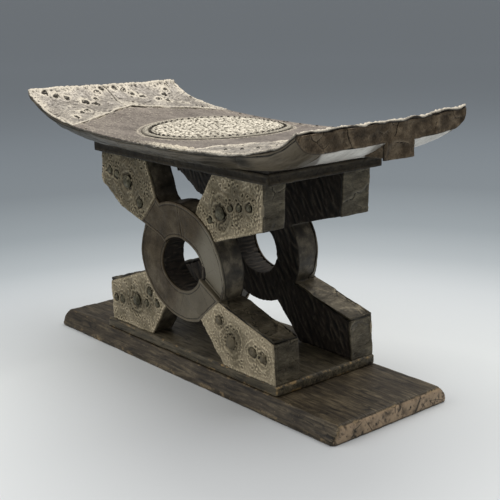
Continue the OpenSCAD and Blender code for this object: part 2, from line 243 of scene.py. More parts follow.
def chained(pairs):
    """Closed loops from directed edges given as (start, end) rows."""
    following = {}
    for start, end in pairs.tolist():
        following.setdefault(start, []).append(end)
    loops = []
    while following:
        here = start = next(iter(following))
        loop = []
        while here in following and (here != start or not loop):
            loop.append(here)
            ahead = following[here].pop()
            if not following[here]:
                del following[here]
            here = ahead
        loops.append(loop)
    return loops


def sides_of(triangles):
    """The three directed edges of each triangle."""
    edges = np.concatenate([triangles[:, [0, 1]], triangles[:, [1, 2]], triangles[:, [2, 0]]])
    return edges.astype(np.int64)


def open_edges(triangles):
    """The directed edges of a triangle list that no neighbour shares."""
    edges = sides_of(triangles)
    size = edges.max() + 1
    return edges[~np.isin(edges @ [size, 1], edges @ [1, size])]


def face_normals(points, triangles):
    """Across each triangle, as long as twice its area."""
    first, second, third = (points[triangles[:, corner]] for corner in range(3))
    return np.cross(second - first, third - first)


def read(items, field, kind=float):
    """A field of three numbers from each item of a mesh's list, in rows."""
    values = np.zeros(3 * len(items), kind)
    items.foreach_get(field, values)
    return values.reshape(-1, 3)


def cad_triangles(node):
    """Welded corner points in mm and triangles of a CAD node."""
    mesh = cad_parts[node].data
    mesh.calc_loop_triangles()
    keys = np.round(read(mesh.vertices, "co") / MM / WELD_MM).astype(int)
    kept, welded = np.unique(keys, axis=0, return_inverse=True)
    triangles = welded.reshape(-1)[read(mesh.loop_triangles, "vertices", np.int32)]
    sound = (triangles != np.roll(triangles, 1, axis=1)).all(1)
    return kept * WELD_MM, triangles[sound]


def loose_parts(node):
    """The separate solids of a CAD node, each as its lowest and highest corner in mm."""
    points, triangles = cad_triangles(node)
    label = np.arange(len(points))
    while True:
        lowest = label[triangles].min(1)
        before = label.copy()
        for corner in range(3):
            np.minimum.at(label, triangles[:, corner], lowest)
        if (label == before).all():
            break
    return [(points[label == part].min(0), points[label == part].max(0))
            for part in np.unique(label[triangles])]


def other_axes(axis):
    return [other for other in (X, Y, Z) if other != axis]


def outline_loops(node, axis, sign, own_side=False):
    """Outlines of the skin of a CAD node that looks along an axis, in its other two axes.
    own_side keeps only what lies on that side of the middle."""
    points, triangles = cad_triangles(node)
    normals = face_normals(points, triangles)
    skin = normals[:, axis] * sign > SKIN_COSINE * norms(normals)
    if own_side:
        skin &= points[triangles][:, :, axis].mean(1) * sign > 0
    loops = chained(open_edges(triangles[skin]))
    return [points[loop][:, other_axes(axis)] for loop in loops if len(loop) > 2]


def even_steps(loop, pitch):
    """A closed outline's points, with more between them so that none is much over pitch apart."""
    made = []
    for start, end in zip(loop, np.roll(loop, -1, axis=0)):
        count = max(1, round(float(np.linalg.norm(end - start)) / pitch))
        made += [start + (end - start) * step / count for step in range(count)]
    return np.array(made)


def inside_of(points, loops):
    """Which points lie inside the outlines, by the odd-even rule."""
    odd = np.zeros(len(points), bool)
    for loop in loops:
        for start, end in zip(loop, np.roll(loop, -1, axis=0)):
            if start[1] == end[1]:
                continue
            straddles = (start[1] > points[:, 1]) != (end[1] > points[:, 1])
            share = (points[:, 1] - start[1]) / (end[1] - start[1])
            odd ^= straddles & (points[:, 0] < start[0] + share * (end[0] - start[0]))
    return odd


def distance_to(points, paths, closed=True):
    """Distance from each point to the nearest of the paths, which are loops if closed."""
    nearest = np.full(len(points), 1e9)
    for path in paths:
        path = np.asarray(path, float)
        ends = np.roll(path, -1, axis=0) if closed else path[1:]
        for start, end in zip(path, ends):
            run = end - start
            length = float(run @ run)
            if length < 1e-9:
                continue
            share = np.clip((points - start) @ run / length, 0, 1)
            gap = points - start - share[:, None] * run
            nearest = np.minimum(nearest, (gap * gap).sum(1))
    return np.sqrt(nearest)


def off_line(points, *lines):
    """Distance from each point to the nearest of some open lines."""
    return distance_to(points, lines, closed=False)


def row_spans(level, loops):
    """Where a level line enters and leaves the outlines, in order."""
    crossings = []
    for loop in loops:
        ends = np.roll(loop, -1, axis=0)
        cut = (loop[:, 1] > level) != (ends[:, 1] > level)
        start, end = loop[cut], ends[cut]
        share = (level - start[:, 1]) / (end[:, 1] - start[:, 1])
        crossings.append(start[:, 0] + share * (end[:, 0] - start[:, 0]))
    return np.sort(np.concatenate(crossings))


def grid_inside(loops, pitch):
    """A slightly uneven triangular grid of points, kept clear of the outlines."""
    rng = np.random.default_rng(11)
    low = np.concatenate(loops).min(0)
    high = np.concatenate(loops).max(0)
    rows = []
    for number, level in enumerate(np.arange(low[1] + pitch / 2, high[1], pitch * 0.87)):
        spans = row_spans(level, loops)
        for enter, leave in zip(spans[::2], spans[1::2]):
            first = math.ceil((enter - low[0]) / pitch - 0.5 * (number % 2))
            across = low[0] + pitch * (np.arange(first, (leave - low[0]) / pitch) + 0.5 * (number % 2))
            across = across[across < leave]
            rows.append(np.column_stack([across, np.full(len(across), level)]))
    grid = np.concatenate(rows) if rows else np.zeros((0, 2))
    grid = grid + pitch * 0.2 * (rng.random(grid.shape) - 0.5)
    cell = 0.5 * pitch
    shape = np.ceil((high - low) / cell).astype(int) + 5
    taken = np.zeros(shape, bool)
    for step in itertools.product((-1, 0, 1), repeat=2):
        border = np.floor((np.concatenate(loops) - low) / cell).astype(int) + 2 + step
        taken[border[:, 0], border[:, 1]] = True
    place = np.floor((grid - low) / cell).astype(int) + 2
    return grid[~taken[place[:, 0], place[:, 1]]]


def fill(rims, pitch):
    """Triangles over the area inside the rims, whose own points are all kept and come first."""
    border = np.concatenate(rims)
    points = np.concatenate([border, grid_inside(rims, pitch)])
    edges = []
    first = 0
    for rim in rims:
        edges += [(first + i, first + (i + 1) % len(rim)) for i in range(len(rim))]
        first += len(rim)
    result = delaunay_2d_cdt([Vector(p) for p in points.tolist()], edges, [], 0, 1e-6)
    made = np.array([tuple(v) for v in result[0]])
    triangles = np.array([f for f in result[2] if len(f) == 3])
    order = np.array([ids[0] if ids else -1 for ids in result[3]])
    extra = np.flatnonzero(order < 0)
    order[extra] = len(points) + np.arange(len(extra))
    on_border = ((order < len(border)) | (order >= len(points)))[triangles].all(1)
    keep = np.ones(len(triangles), bool)
    keep[on_border] = inside_of(made[triangles[on_border]].mean(1), rims)
    return np.concatenate([points, made[extra]]), order[triangles[keep]]


def neighbour_mean(values, edges, rounds):
    """Values on a mesh's points, each replaced by its neighbours' mean, several times over."""
    count = len(values)
    ends = np.concatenate([edges[:, 0], edges[:, 1]])
    others = np.concatenate([edges[:, 1], edges[:, 0]])
    number = np.maximum(np.bincount(ends, minlength=count), 1)
    for _ in range(rounds):
        values = np.bincount(ends, values[others], minlength=count) / number
    return values


def edges_of(triangles):
    """Each edge of a triangle list once."""
    edges = np.sort(sides_of(triangles), axis=1)
    size = edges.max() + 1
    return np.column_stack(np.divmod(np.unique(edges @ [size, 1]), size))


def contrast(height, edges, rounds, scale):
    """How far each point stands above its surroundings: 0.5 is level, 1 a ridge and 0 a pit."""
    return np.clip(0.5 + (height - neighbour_mean(height, edges, rounds)) / scale, 0, 1)


class Shape:
    """Points in mm and faces, with three numbers at each point for the materials to read:
    tone is how far it stands out of its surroundings, lowered for painted shade on turned-down rims and
    set as painted shade and highlight on domes, wear how rubbed it is, and mask the share of the
    material's second look, which on some pieces is painted light."""

    def __init__(self, points, faces, tone, wear=None, mask=None):
        self.points = points
        self.faces = faces
        self.tone = tone
        self.wear = np.zeros(len(points)) if wear is None else wear
        self.mask = np.zeros(len(points)) if mask is None else mask


def evened(values, reach=6):
    """Values along a closed rim, each replaced by the mean of those up to reach steps away."""
    return sum(np.roll(values, step) for step in range(-reach, reach + 1)) / (2 * reach + 1)


# A sheet's edge, ring by ring: how far it stands out, its share of the fold's depth, and how much painted
# shade lowers its tone
FOLD = [(0.3, 0.06, 0), (0.5, 0.2, 0.05), (0.55, 0.5, 0.1), (0.5, 1, 0.3), (0, 1.02, 1)]
BACK_PITCH = 6


def even_fold(depth, ragged=0.4):
    """A fold of about the same depth all round."""
    return lambda uv: depth * (1 + ragged * fractal(uv, 9, 17, 3))


def unmasked(uv, edge):
    return np.zeros(len(uv))


def sheet(loops, place, relief, pitch, seed, contrast_mm, fold=even_fold(2.4), back=2.0,
          wobble=0.3, rounds=5, mask=unmasked):
    """A closed, embossed sheet cut to the outlines. place(uv) gives points and normals,
    relief(uv, edge) heights in mm, fold(uv) how far its rim is turned down, and
    mask(uv, edge) the share of the second look."""
    rims = [even_steps(loop, pitch) for loop in loops]
    for rim in rims:
        rim += wobble * np.column_stack([fractal(rim, 13, seed + 5, 2), fractal(rim, 13, seed + 6, 2)])
    uv, triangles = fill(rims, pitch)
    edge = distance_to(uv, loops)
    height = relief(uv, edge)
    tone = contrast(height, edges_of(triangles), rounds, contrast_mm)
    share = np.clip(mask(uv, edge), 0, 1)
    base, normal = place(uv)
    points, faces, tones, shares = [base + normal * height[:, None]], [triangles], [tone], [share]
    total = len(uv)
    deepest = []
    for loop in chained(open_edges(triangles)):
        rim_uv = uv[loop]
        along = np.roll(rim_uv, -1, axis=0) - np.roll(rim_uv, 1, axis=0)
        along /= norms(along)[:, None] + 1e-9
        out = np.column_stack([along[:, 1], -along[:, 0]])
        depth = fold(rim_uv)
        rim_height, rim_tone = height[loop], tone[loop]
        even_height, even_tone = evened(rim_height), evened(rim_tone)
        ring = np.array(loop)
        for out_by, down_share, rim_painted_shade in FOLD:
            ring_base, ring_normal = place(rim_uv + out * out_by)
            even = min(3 * down_share, 1)
            drop = (1 - even) * rim_height + even * even_height - depth * down_share
            points.append(ring_base + ring_normal * drop[:, None])
            # Painted shade: each ring's tone is lowered, so the turned-down rim reads as a dark line under
            # the sheet's edge
            tones.append(np.clip((1 - even) * rim_tone + even * even_tone - rim_painted_shade, 0, 1))
            shares.append(share[loop])
            new = total + np.arange(len(loop))
            total += len(loop)
            after, new_after = np.roll(ring, -1), np.roll(new, -1)
            faces.append(np.column_stack([ring, new, new_after]))
            faces.append(np.column_stack([ring, new_after, after]))
            ring = new
        deepest.append((rim_uv, ring))
    back_uv, back_triangles = fill([rim_uv for rim_uv, _ in deepest], BACK_PITCH)
    numbers = np.concatenate([ring for _, ring in deepest])
    added = back_uv[len(numbers):]
    if len(added):
        back_base, back_normal = place(added)
        points.append(back_base - back_normal * back)
        tones.append(np.zeros(len(added)))
        shares.append(np.zeros(len(added)))
        numbers = np.concatenate([numbers, total + np.arange(len(added))])
    faces.append(numbers[back_triangles][:, ::-1])
    made = Shape(np.concatenate(points), np.concatenate(faces), np.concatenate(tones),
                 mask=np.concatenate(shares))
    return facing(made, triangles, normal)


def facing(shape, front, normals):
    """The shape, turned inside out if its front doesn't look the way its normals do."""
    if (face_normals(shape.points, front) * normals[front[:, 0]]).sum() < 0:
        shape.faces = shape.faces[:, ::-1]
    return shape


# ---------------------------------------------------------------- pieces

def make_piece(node, shapes, look, name=None, bend=None):
    """One object from one or more shapes. It rides on the body and stands for its CAD node."""
    name = name or node + "_skin"
    points = np.concatenate([shape.points for shape in shapes])
    starts = np.cumsum([0] + [len(shape.points) for shape in shapes])
    faces = np.concatenate([shape.faces + start for shape, start in zip(shapes, starts)])
    if bend is not None:
        points = bend(points)
    mesh = bpy.data.meshes.new(name)
    mesh.vertices.add(len(points))
    mesh.vertices.foreach_set("co", (points * MM).astype(np.float32).ravel())
    mesh.loops.add(faces.size)
    mesh.loops.foreach_set("vertex_index", faces.astype(np.int32).ravel())
    mesh.polygons.add(len(faces))
    mesh.polygons.foreach_set("loop_start", np.arange(0, faces.size, faces.shape[1], dtype=np.int32))
    mesh.update(calc_edges=True)
    for attribute in ("tone", "wear", "mask"):
        values = np.concatenate([getattr(shape, attribute) for shape in shapes])
        layer = mesh.attributes.new(attribute, "FLOAT", "POINT")
        layer.data.foreach_set("value", values.astype(np.float32))
    mesh.polygons.foreach_set("use_smooth", np.ones(len(mesh.polygons), bool))
    mesh.materials.append(LOOKS[look])
    piece = bpy.data.objects.new(name, mesh)
    bpy.context.scene.collection.objects.link(piece)
    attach(piece, BODY)
    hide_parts(node)


def remeshed(node, voxel):
    """A CAD node's shape as an even mesh: points in mm, triangles and point normals."""
    copy = bpy.data.objects.new("remesh_copy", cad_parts[node].data.copy())
    bpy.context.scene.collection.objects.link(copy)
    made = bmesh.new()
    made.from_mesh(copy.data)
    bmesh.ops.remove_doubles(made, verts=made.verts, dist=WELD_MM * MM)
    made.to_mesh(copy.data)
    made.free()
    modifier = copy.modifiers.new("even", "REMESH")
    modifier.mode = "VOXEL"
    modifier.voxel_size = voxel * MM
    evaluated = copy.evaluated_get(bpy.context.evaluated_depsgraph_get())
    mesh = evaluated.to_mesh()
    mesh.calc_loop_triangles()
    points, normals = read(mesh.vertices, "co") / MM, read(mesh.vertices, "normal")
    triangles = read(mesh.loop_triangles, "vertices", np.int32)
    evaluated.to_mesh_clear()
    bpy.data.objects.remove(copy)
    return points, triangles, normals


def carved(node, voxel, relief, contrast_mm=0.6, rounds=5, wear_mm=0.9, mask=None):
    """A CAD node's shape with its surface carved: relief(points, normals) gives heights in mm."""
    points, triangles, normals = remeshed(node, voxel)
    edges = edges_of(triangles)
    smooth = np.column_stack([neighbour_mean(points[:, axis], edges, 4) for axis in range(3)])
    wear = np.clip(((points - smooth) * normals).sum(1) / wear_mm, 0, 1)
    height = relief(points, normals)
    tone = contrast(height, edges, rounds, contrast_mm)
    share = None if mask is None else np.clip(mask(points, normals), 0, 1)
    return Shape(points + normals * height[:, None], triangles, tone, wear, share)


# ---------------------------------------------------------------- where sheets lie

def ease(share):
    """From 0 to 1, smoothly, as share goes from 0 to 1."""
    share = np.clip(share, 0, 1)
    return share * share * (3 - 2 * share)


def rise(value, start, end):
    """From 0 to 1, smoothly, as value goes from start to end."""
    return ease((value - start) / (end - start))


def top_height(x):
    """Height of the seat's top at x."""
    share = np.minimum(np.abs(x) / SEAT_HALF, CURVE_END)
    return SEAT_MID + SEAT_RISE * (EVEN_SHARE * share ** 2 + (1 - EVEN_SHARE) * share ** FLICK_POWER)


def top_slope(x):
    """Slope of the seat's top at x."""
    share = np.minimum(np.abs(x) / SEAT_HALF, CURVE_END)
    steep = 2 * EVEN_SHARE * share + (1 - EVEN_SHARE) * FLICK_POWER * share ** (FLICK_POWER - 1)
    return np.sign(x) * SEAT_RISE * steep / SEAT_HALF


def belly_height(x):
    """Height of the seat's flat belly at x."""
    return top_height(x) - SEAT_T - SEAT_T_GAIN * np.minimum(np.abs(x) / SEAT_HALF, 1) ** 2


def on_top(uv, lift=0.0):
    """Points and normals on the seat's top, for uv = (x, y)."""
    x, y = uv.T
    normals = unit(np.column_stack([-top_slope(x), np.zeros(len(x)), np.ones(len(x))]))
    return np.column_stack([x, y, top_height(x)]) + lift * normals, normals


def on_medallion(uv):
    return on_top(uv, MEDALLION_LIFT)


def on_belly(uv):
    """Points and normals under the seat, for uv = (x, y)."""
    points, normals = on_top(uv)
    points[:, Z] = belly_height(uv[:, 0]) - SHEET_T
    return points, -normals


def on_side(side):
    """Points and normals down one long side of the seat, for uv = (x, distance down from the rim)."""
    def place(uv):
        x = uv[:, 0]
        down = uv[:, 1] / SIDE_RUN
        rim = np.column_stack([x, np.full(len(x), SEAT_SIDE - 0.4), top_height(x) - RIM_DROP])
        foot = np.column_stack([x, np.full(len(x), BELLY_SIDE + 0.5), belly_height(x) - SHEET_T])
        bulge = (SIDE_BULGE + END_BULGE * (x / SEAT_HALF) ** 2) * np.clip(down * (1 - down) * 4, 0, 1)
        across = unit(foot - rim)
        normals = unit(np.column_stack([-0.5 * top_slope(x), -across[:, 2], across[:, 1]]))
        points = rim + (foot - rim) * down[:, None] + normals * bulge[:, None]
        return points * [1, side, 1], normals * [1, side, 1]
    return place


def bulged(loop):
    """The outline of a seat end, its two slanting edges bulged as the sides are."""
    loop = even_steps(loop, 1.0)
    span = SEAT_SIDE - BELLY_SIDE
    share = np.clip((np.abs(loop[:, 0]) - BELLY_SIDE) / span, 0, 1)
    below = ease((top_height(np.array([SEAT_HALF])) - 1 - loop[:, 1]) / 3)
    push = (SIDE_BULGE + END_BULGE) * 4 * share * (1 - share) * below
    return loop + push[:, None] * np.column_stack([0.52 * np.sign(loop[:, 0]), np.full(len(loop), -0.85)])


def soft_box(low, high, radius):
    """A bend that rounds the edges and corners of a box of these limits."""
    low, high = np.array(low) + radius, np.array(high) - radius

    def bend(points):
        inner = np.clip(points, low, high)
        beyond = points - inner
        longest = np.abs(beyond).max(1)
        length = np.maximum(norms(beyond), 1e-6)
        return inner + beyond * (longest / length)[:, None]
    return bend


def seat_bend(points):
    """The seat as its carver left it: round corners, the far edge drawn in, and the ends uneven."""
    x, y, z = points.T
    for end, side, radius in CORNERS:
        past_x = end * x - (SEAT_HALF - radius)
        past_y = side * y - (SEAT_SIDE - radius)
        inside = (past_x > 0) & (past_y > 0)
        reach = np.hypot(past_x, past_y)
        shrink = np.where(inside, np.maximum(past_x, past_y) / np.maximum(reach, 1e-6), 1)
        x = np.where(inside, end * (SEAT_HALF - radius + past_x * shrink), x)
        y = np.where(inside, side * (SEAT_SIDE - radius + past_y * shrink), y)
    left = rise(-x, 140, SEAT_HALF)
    right = rise(x, 130, SEAT_HALF)
    drawn = FAR_EDGE_IN * rise(y, 58, SEAT_SIDE) * (1 - right)
    flared = FLARE_OUT * rise(x, 165, SEAT_HALF) * rise(-y, 55, SEAT_SIDE)
    lift = END_SHIFT * (left * (1 - rise(y, -60, 50)) + right * rise(y, 30, 100))
    return np.column_stack([x - END_SHIFT * left * rise(-y, 0, 100), y - drawn - flared, z + lift])


def on_plane(axis, level, sign):
    """Points and normals on a plane square to one axis; uv are the other two axes in order."""
    def place(uv):
        points = np.insert(uv, axis, level, axis=1)
        normals = np.zeros_like(points)
        normals[:, axis] = sign
        return points, normals
    return place


def on_node(node, axis, sign, own_side=False):
    """Points and normals on the skin of a CAD node, seen along an axis; uv are the other two.
    own_side keeps it to that side of the body."""
    points, triangles = cad_triangles(node)
    if own_side:
        triangles = triangles[points[triangles].mean(1)[:, axis] * sign > 0]
    tree = BVHTree.FromPolygons(points.tolist(), triangles.tolist())
    start = sign * ((sign * points[triangles][:, :, axis]).max() + RAY_MM)
    outward = sign * np.eye(3)[axis]
    toward = Vector(outward)

    def place(uv):
        made = np.insert(uv, axis, start, axis=1)
        normals = np.tile(outward, (len(uv), 1))
        for number, origin in enumerate(made.tolist()):
            hit, normal, _, _ = tree.ray_cast(origin, -toward)
            if hit is None:
                made[number, axis] = tree.find_nearest(Vector(origin) - RAY_MM * toward)[0][axis]
                continue
            made[number] = hit
            if normal.dot(toward) > 0.5:
                normals[number] = normal
        return made, normals
    return place


# ---------------------------------------------------------------- materials

EVEN = (1, 1, 1)


class Look:
    """A Principled material and short ways to add nodes to it."""

    def __init__(self, name, metallic, specular=0.5):
        self.material = bpy.data.materials.new(name)
        self.material.use_nodes = True
        self.tree = self.material.node_tree
        self.shader = self.tree.nodes["Principled BSDF"].inputs
        self.put(self.shader["Metallic"], metallic)
        self.put(self.shader["Specular IOR Level"], specular)
        self.place = self.node("TexCoord").outputs["Object"]

    def put(self, socket, value):
        """Link an output, or set a plain value."""
        if isinstance(value, bpy.types.NodeSocket):
            self.tree.links.new(value, socket)
        elif isinstance(value, tuple) and len(value) == 3 and socket.type == "RGBA":
            socket.default_value = (*value, 1)
        else:
            socket.default_value = value

    def node(self, kind, values=(), **settings):
        """A new node with its settings, and values or links for its inputs as (input, value) pairs."""
        node = self.tree.nodes.new("ShaderNode" + kind)
        for setting, choice in settings.items():
            setattr(node, setting, choice)
        for socket, value in values:
            self.put(node.inputs[socket], value)
        return node

    def mapped(self, size_mm, stretch, shift):
        """The point's place in units of size_mm, stretched along the axes."""
        scale = tuple(1 / (size_mm * MM * s) for s in stretch)
        return self.node("Mapping", [("Scale", scale), ("Location", (shift, 2 * shift, 3 * shift)),
                                     ("Vector", self.place)]).outputs[0]

    def noise(self, size_mm, detail=4, rough=0.6, stretch=EVEN, shift=0):
        """Noise from 0 to 1 with features about size_mm across."""
        return self.node("TexNoise", [("Scale", 1), ("Detail", detail), ("Roughness", rough),
                                      ("Vector", self.mapped(size_mm, stretch, shift))]).outputs["Fac"]

    def cracks(self, size_mm, stretch, shift):
        """Distance from the edges of irregular cells about size_mm across."""
        values = [("Scale", 1), ("Vector", self.mapped(size_mm, stretch, shift))]
        return self.node("TexVoronoi", values, feature="DISTANCE_TO_EDGE").outputs["Distance"]

    def attribute(self, name):
        return self.node("Attribute", attribute_name=name).outputs["Fac"]

    def math(self, operation, *values):
        return self.node("Math", enumerate(values), operation=operation).outputs[0]

    def times(self, first, second):
        return self.math("MULTIPLY", first, second)

    def add(self, first, second, share=1.0):
        """The first value and a share of the second."""
        return self.math("ADD", first, second if share == 1 else self.times(second, share))

    def span(self, value, low, high, start=0.0, end=1.0):
        """Value carried from low..high to start..end and held there."""
        return self.node("MapRange", enumerate((value, low, high, start, end))).outputs[0]

    def ramp(self, value, places, colours):
        """Colours at their places along a 0 to 1 value."""
        node = self.node("ValToRGB", [(0, value)])
        elements = node.color_ramp.elements
        while len(elements) < len(places):
            elements.new(0.5)
        for element, place, colour in zip(elements, places, colours):
            element.position = place
            element.color = (*colour, 1)
        return node.outputs[0]

    def mix(self, share, first, second):
        return self.node("Mix", [("Factor", share), (6, first), (7, second)], data_type="RGBA").outputs[2]

    def finish(self, colour, roughness, bump=None, bump_mm=0.1):
        self.put(self.shader["Base Color"], colour)
        self.put(self.shader["Roughness"], roughness)
        if bump is not None:
            node = self.node("Bump", [("Distance", bump_mm * MM), ("Height", bump)])
            self.put(self.shader["Normal"], node.outputs[0])
        return self.material


def srgb(red, green, blue):
    """A colour given as screen values from 0 to 255, as linear values."""
    return tuple(((c / 255 + 0.055) / 1.055) ** 2.4 if c > 10 else c / 3294 for c in (red, green, blue))


def shaded(colour, share):
    return tuple(share * c for c in colour)


def silver_sheet(name, dark, body, light, cream, pit, grain=EVEN):
    """Aged silver: cloudy and smooth, with cream grains where the mask is high, dark in its pits and in
    the painted shade of its turned-down rims.
    """
    look = Look(name, 0.3)
    tone = look.attribute("tone")
    mask = look.attribute("mask")
    fine = look.noise(2.2, 5, 0.8, grain, 4)
    value = look.add(look.times(look.noise(24, 6, 0.7, grain), 0.5), fine, 0.5)
    colour = look.ramp(value, (0.38, 0.5, 0.62), (dark, body, light))
    speckle = look.add(look.noise(1.3, 3, 0.8, grain, 9), mask, 0.3)
    colour = look.mix(look.span(speckle, 0.64, 0.78), colour, cream)
    # Pit colour where the tone is low: patina in the hollows, and painted shade on turned-down rims
    colour = look.mix(look.span(tone, 0.44, 0.08), colour, pit)
    raised = look.times(look.span(tone, 0.56, 0.9), look.span(mask, 0, 1, 0.35, 1))
    colour = look.mix(raised, colour, cream)
    return look.finish(colour, look.add(look.span(value, 0.3, 0.7, 0.42, 0.3), mask, 0.22), fine, 0.2)


def embossed_metal(name, pit, body, ridge, pale, paler=0.0):
    """Beaten sheet: dark in its pits and in the painted shade of its turned-down rims, worn on its ridges,
    pale grains where the mask is high.
    paler is how far the mask also lightens the sheet itself; with the darkening where the mask is low, on
    the arms this is painted light and painted shade."""
    look = Look(name, 0.3, 0.3)
    mask = look.attribute("mask")
    grit = look.noise(1.2, 3, 0.75)
    worn = look.add(look.attribute("tone"), look.span(grit, 0.2, 0.8, -0.22, 0.22))
    middle = tuple(0.5 * (p + b) for p, b in zip(pit, body))
    colour = look.ramp(worn, (0.1, 0.3, 0.5, 0.85), (pit, middle, body, ridge))
    patches = look.noise(19, 5, 0.6, shift=3)
    colour = look.mix(look.span(patches, 0.4, 0.62, 0, 0.55), colour, shaded(body, 0.62))
    # A low mask darkens the sheet toward its pit colour and a high one lightens it: on the arms this is
    # painted shade and painted light, besides the real grains
    colour = look.mix(look.span(mask, 0, 0.3, 0.28, 0), colour, pit)
    colour = look.mix(look.span(mask, 0.3, 1.0, 0, paler), colour, pale)
    speckle = look.times(look.span(worn, 0.55, 0.85), look.span(mask, 0.2, 1, 0, 0.85))
    colour = look.mix(speckle, colour, pale)
    roughness = look.span(worn, 0.2, 0.8, 0.62, 0.38)
    return look.finish(colour, roughness, look.noise(0.9, 4, 0.7, shift=5), 0.2)


def smooth_metal(name, dark, body, light, second=None, metallic=0.4, rough=(0.5, 0.34), grain=EVEN,
                 size_mm=20):
    """Smoother beaten sheet: cloudy tones, fine scratches and dark creases, with painted shade and painted
    highlight where the tone carries them on rims and domes.
    """
    look = Look(name, metallic, 0.25)
    tone = look.attribute("tone")
    fine = look.noise(1.4, 4, 0.75, grain, 4)
    value = look.add(look.times(look.noise(size_mm, 6, 0.65, grain), 0.7), fine, 0.3)
    colour = look.ramp(value, (0.36, 0.5, 0.66), (dark, body, light))
    # The second colour where the mask is high: painted light on the bands and arm bosses, a painted
    # highlight strip and paler patches on the side, and the belly's darker sheet
    if second:
        colour = look.mix(look.attribute("mask"), colour, second)
    # Dark where the tone is low: creases, and the painted shade on rims and on the sides of domes
    colour = look.mix(look.span(tone, 0.46, 0.12), colour, shaded(dark, 0.2))
    # Lighter where the tone is high: ridges, and the painted highlight on the tops of domes
    colour = look.mix(look.span(tone, 0.58, 0.95, 0, 0.6), colour, shaded(light, 1.35))
    return look.finish(colour, look.span(value, 0.3, 0.7, *rough), fine, 0.15)


def old_wood(name, dark, body, light, worn, end=None, grain=(9, 1, 1)):
    """Dark polished wood with grain along one axis, rubbed paler on its edges.
    Where the mask is high it shows bare end wood, if that has a colour."""
    look = Look(name, 0.0, 0.3)
    streaks = look.noise(2.6, 6, 0.7, grain)
    cloud = look.noise(26, 5, 0.75, (2, 1, 1), 6)
    value = look.add(look.times(streaks, 0.6), cloud, 0.4)
    colour = look.ramp(value, (0.36, 0.5, 0.66), (dark, body, light))
    lines = look.span(look.cracks(7, grain, 8), 0.05, 0.0)
    lines = look.times(lines, look.span(look.noise(20, 4, 0.7, shift=9), 0.45, 0.6))
    colour = look.mix(lines, colour, shaded(dark, 0.2))
    if end:
        colour = look.mix(look.attribute("mask"), colour, end_wood(look, end, dark))
    colour = look.mix(look.span(look.attribute("tone"), 0.46, 0.12), colour, shaded(dark, 0.25))
    patches = look.span(look.noise(13, 6, 0.75, shift=2), 0.5, 0.66)
    rubbed = look.times(look.attribute("wear"), patches)
    colour = look.mix(look.span(rubbed, 0.1, 0.7), colour, worn)
    dust = look.span(look.noise(1.4, 2, 0.6, shift=7), 0.69, 0.74)
    colour = look.mix(look.times(dust, 0.6), colour, worn)
    return look.finish(colour, look.span(value, 0.3, 0.7, 0.6, 0.42), streaks, 0.3)


def end_wood(look, tan, dark):
    """Bare end wood: tan, blotched, with black splits and knots."""
    blotch = look.noise(13, 6, 0.7, shift=11)
    colour = look.ramp(blotch, (0.34, 0.5, 0.68), (shaded(tan, 0.45), tan, shaded(tan, 1.25)))
    splits = look.span(look.cracks(24, (1, 1, 0.7), 5), 0.035, 0.0)
    splits = look.times(splits, look.span(look.noise(15, 3, 0.6, shift=3), 0.48, 0.58))
    return look.mix(splits, colour, shaded(dark, 0.3))


def clad_timber(name, black, brown, dark, body, light, groove, ridge):
    """The frames: black gouged wood, with brown cladding where the mask is high."""
    look = Look(name, 0.0, 0.4)
    tone = look.attribute("tone")
    mask = look.attribute("mask")
    metal = look.ramp(look.noise(17, 6, 0.65), (0.36, 0.5, 0.64), (dark, body, light))
    wood = look.ramp(look.noise(6, 5, 0.7, shift=5), (0.3, 0.7), (black, brown))
    colour = look.mix(look.span(tone, 0.46, 0.15), look.mix(mask, wood, metal), groove)
    colour = look.mix(look.span(tone, 0.6, 0.95, 0, 0.45), colour, ridge)
    return look.finish(colour, look.span(mask, 0, 1, 0.72, 0.45), look.noise(1.2, 3, 0.7), 0.2)


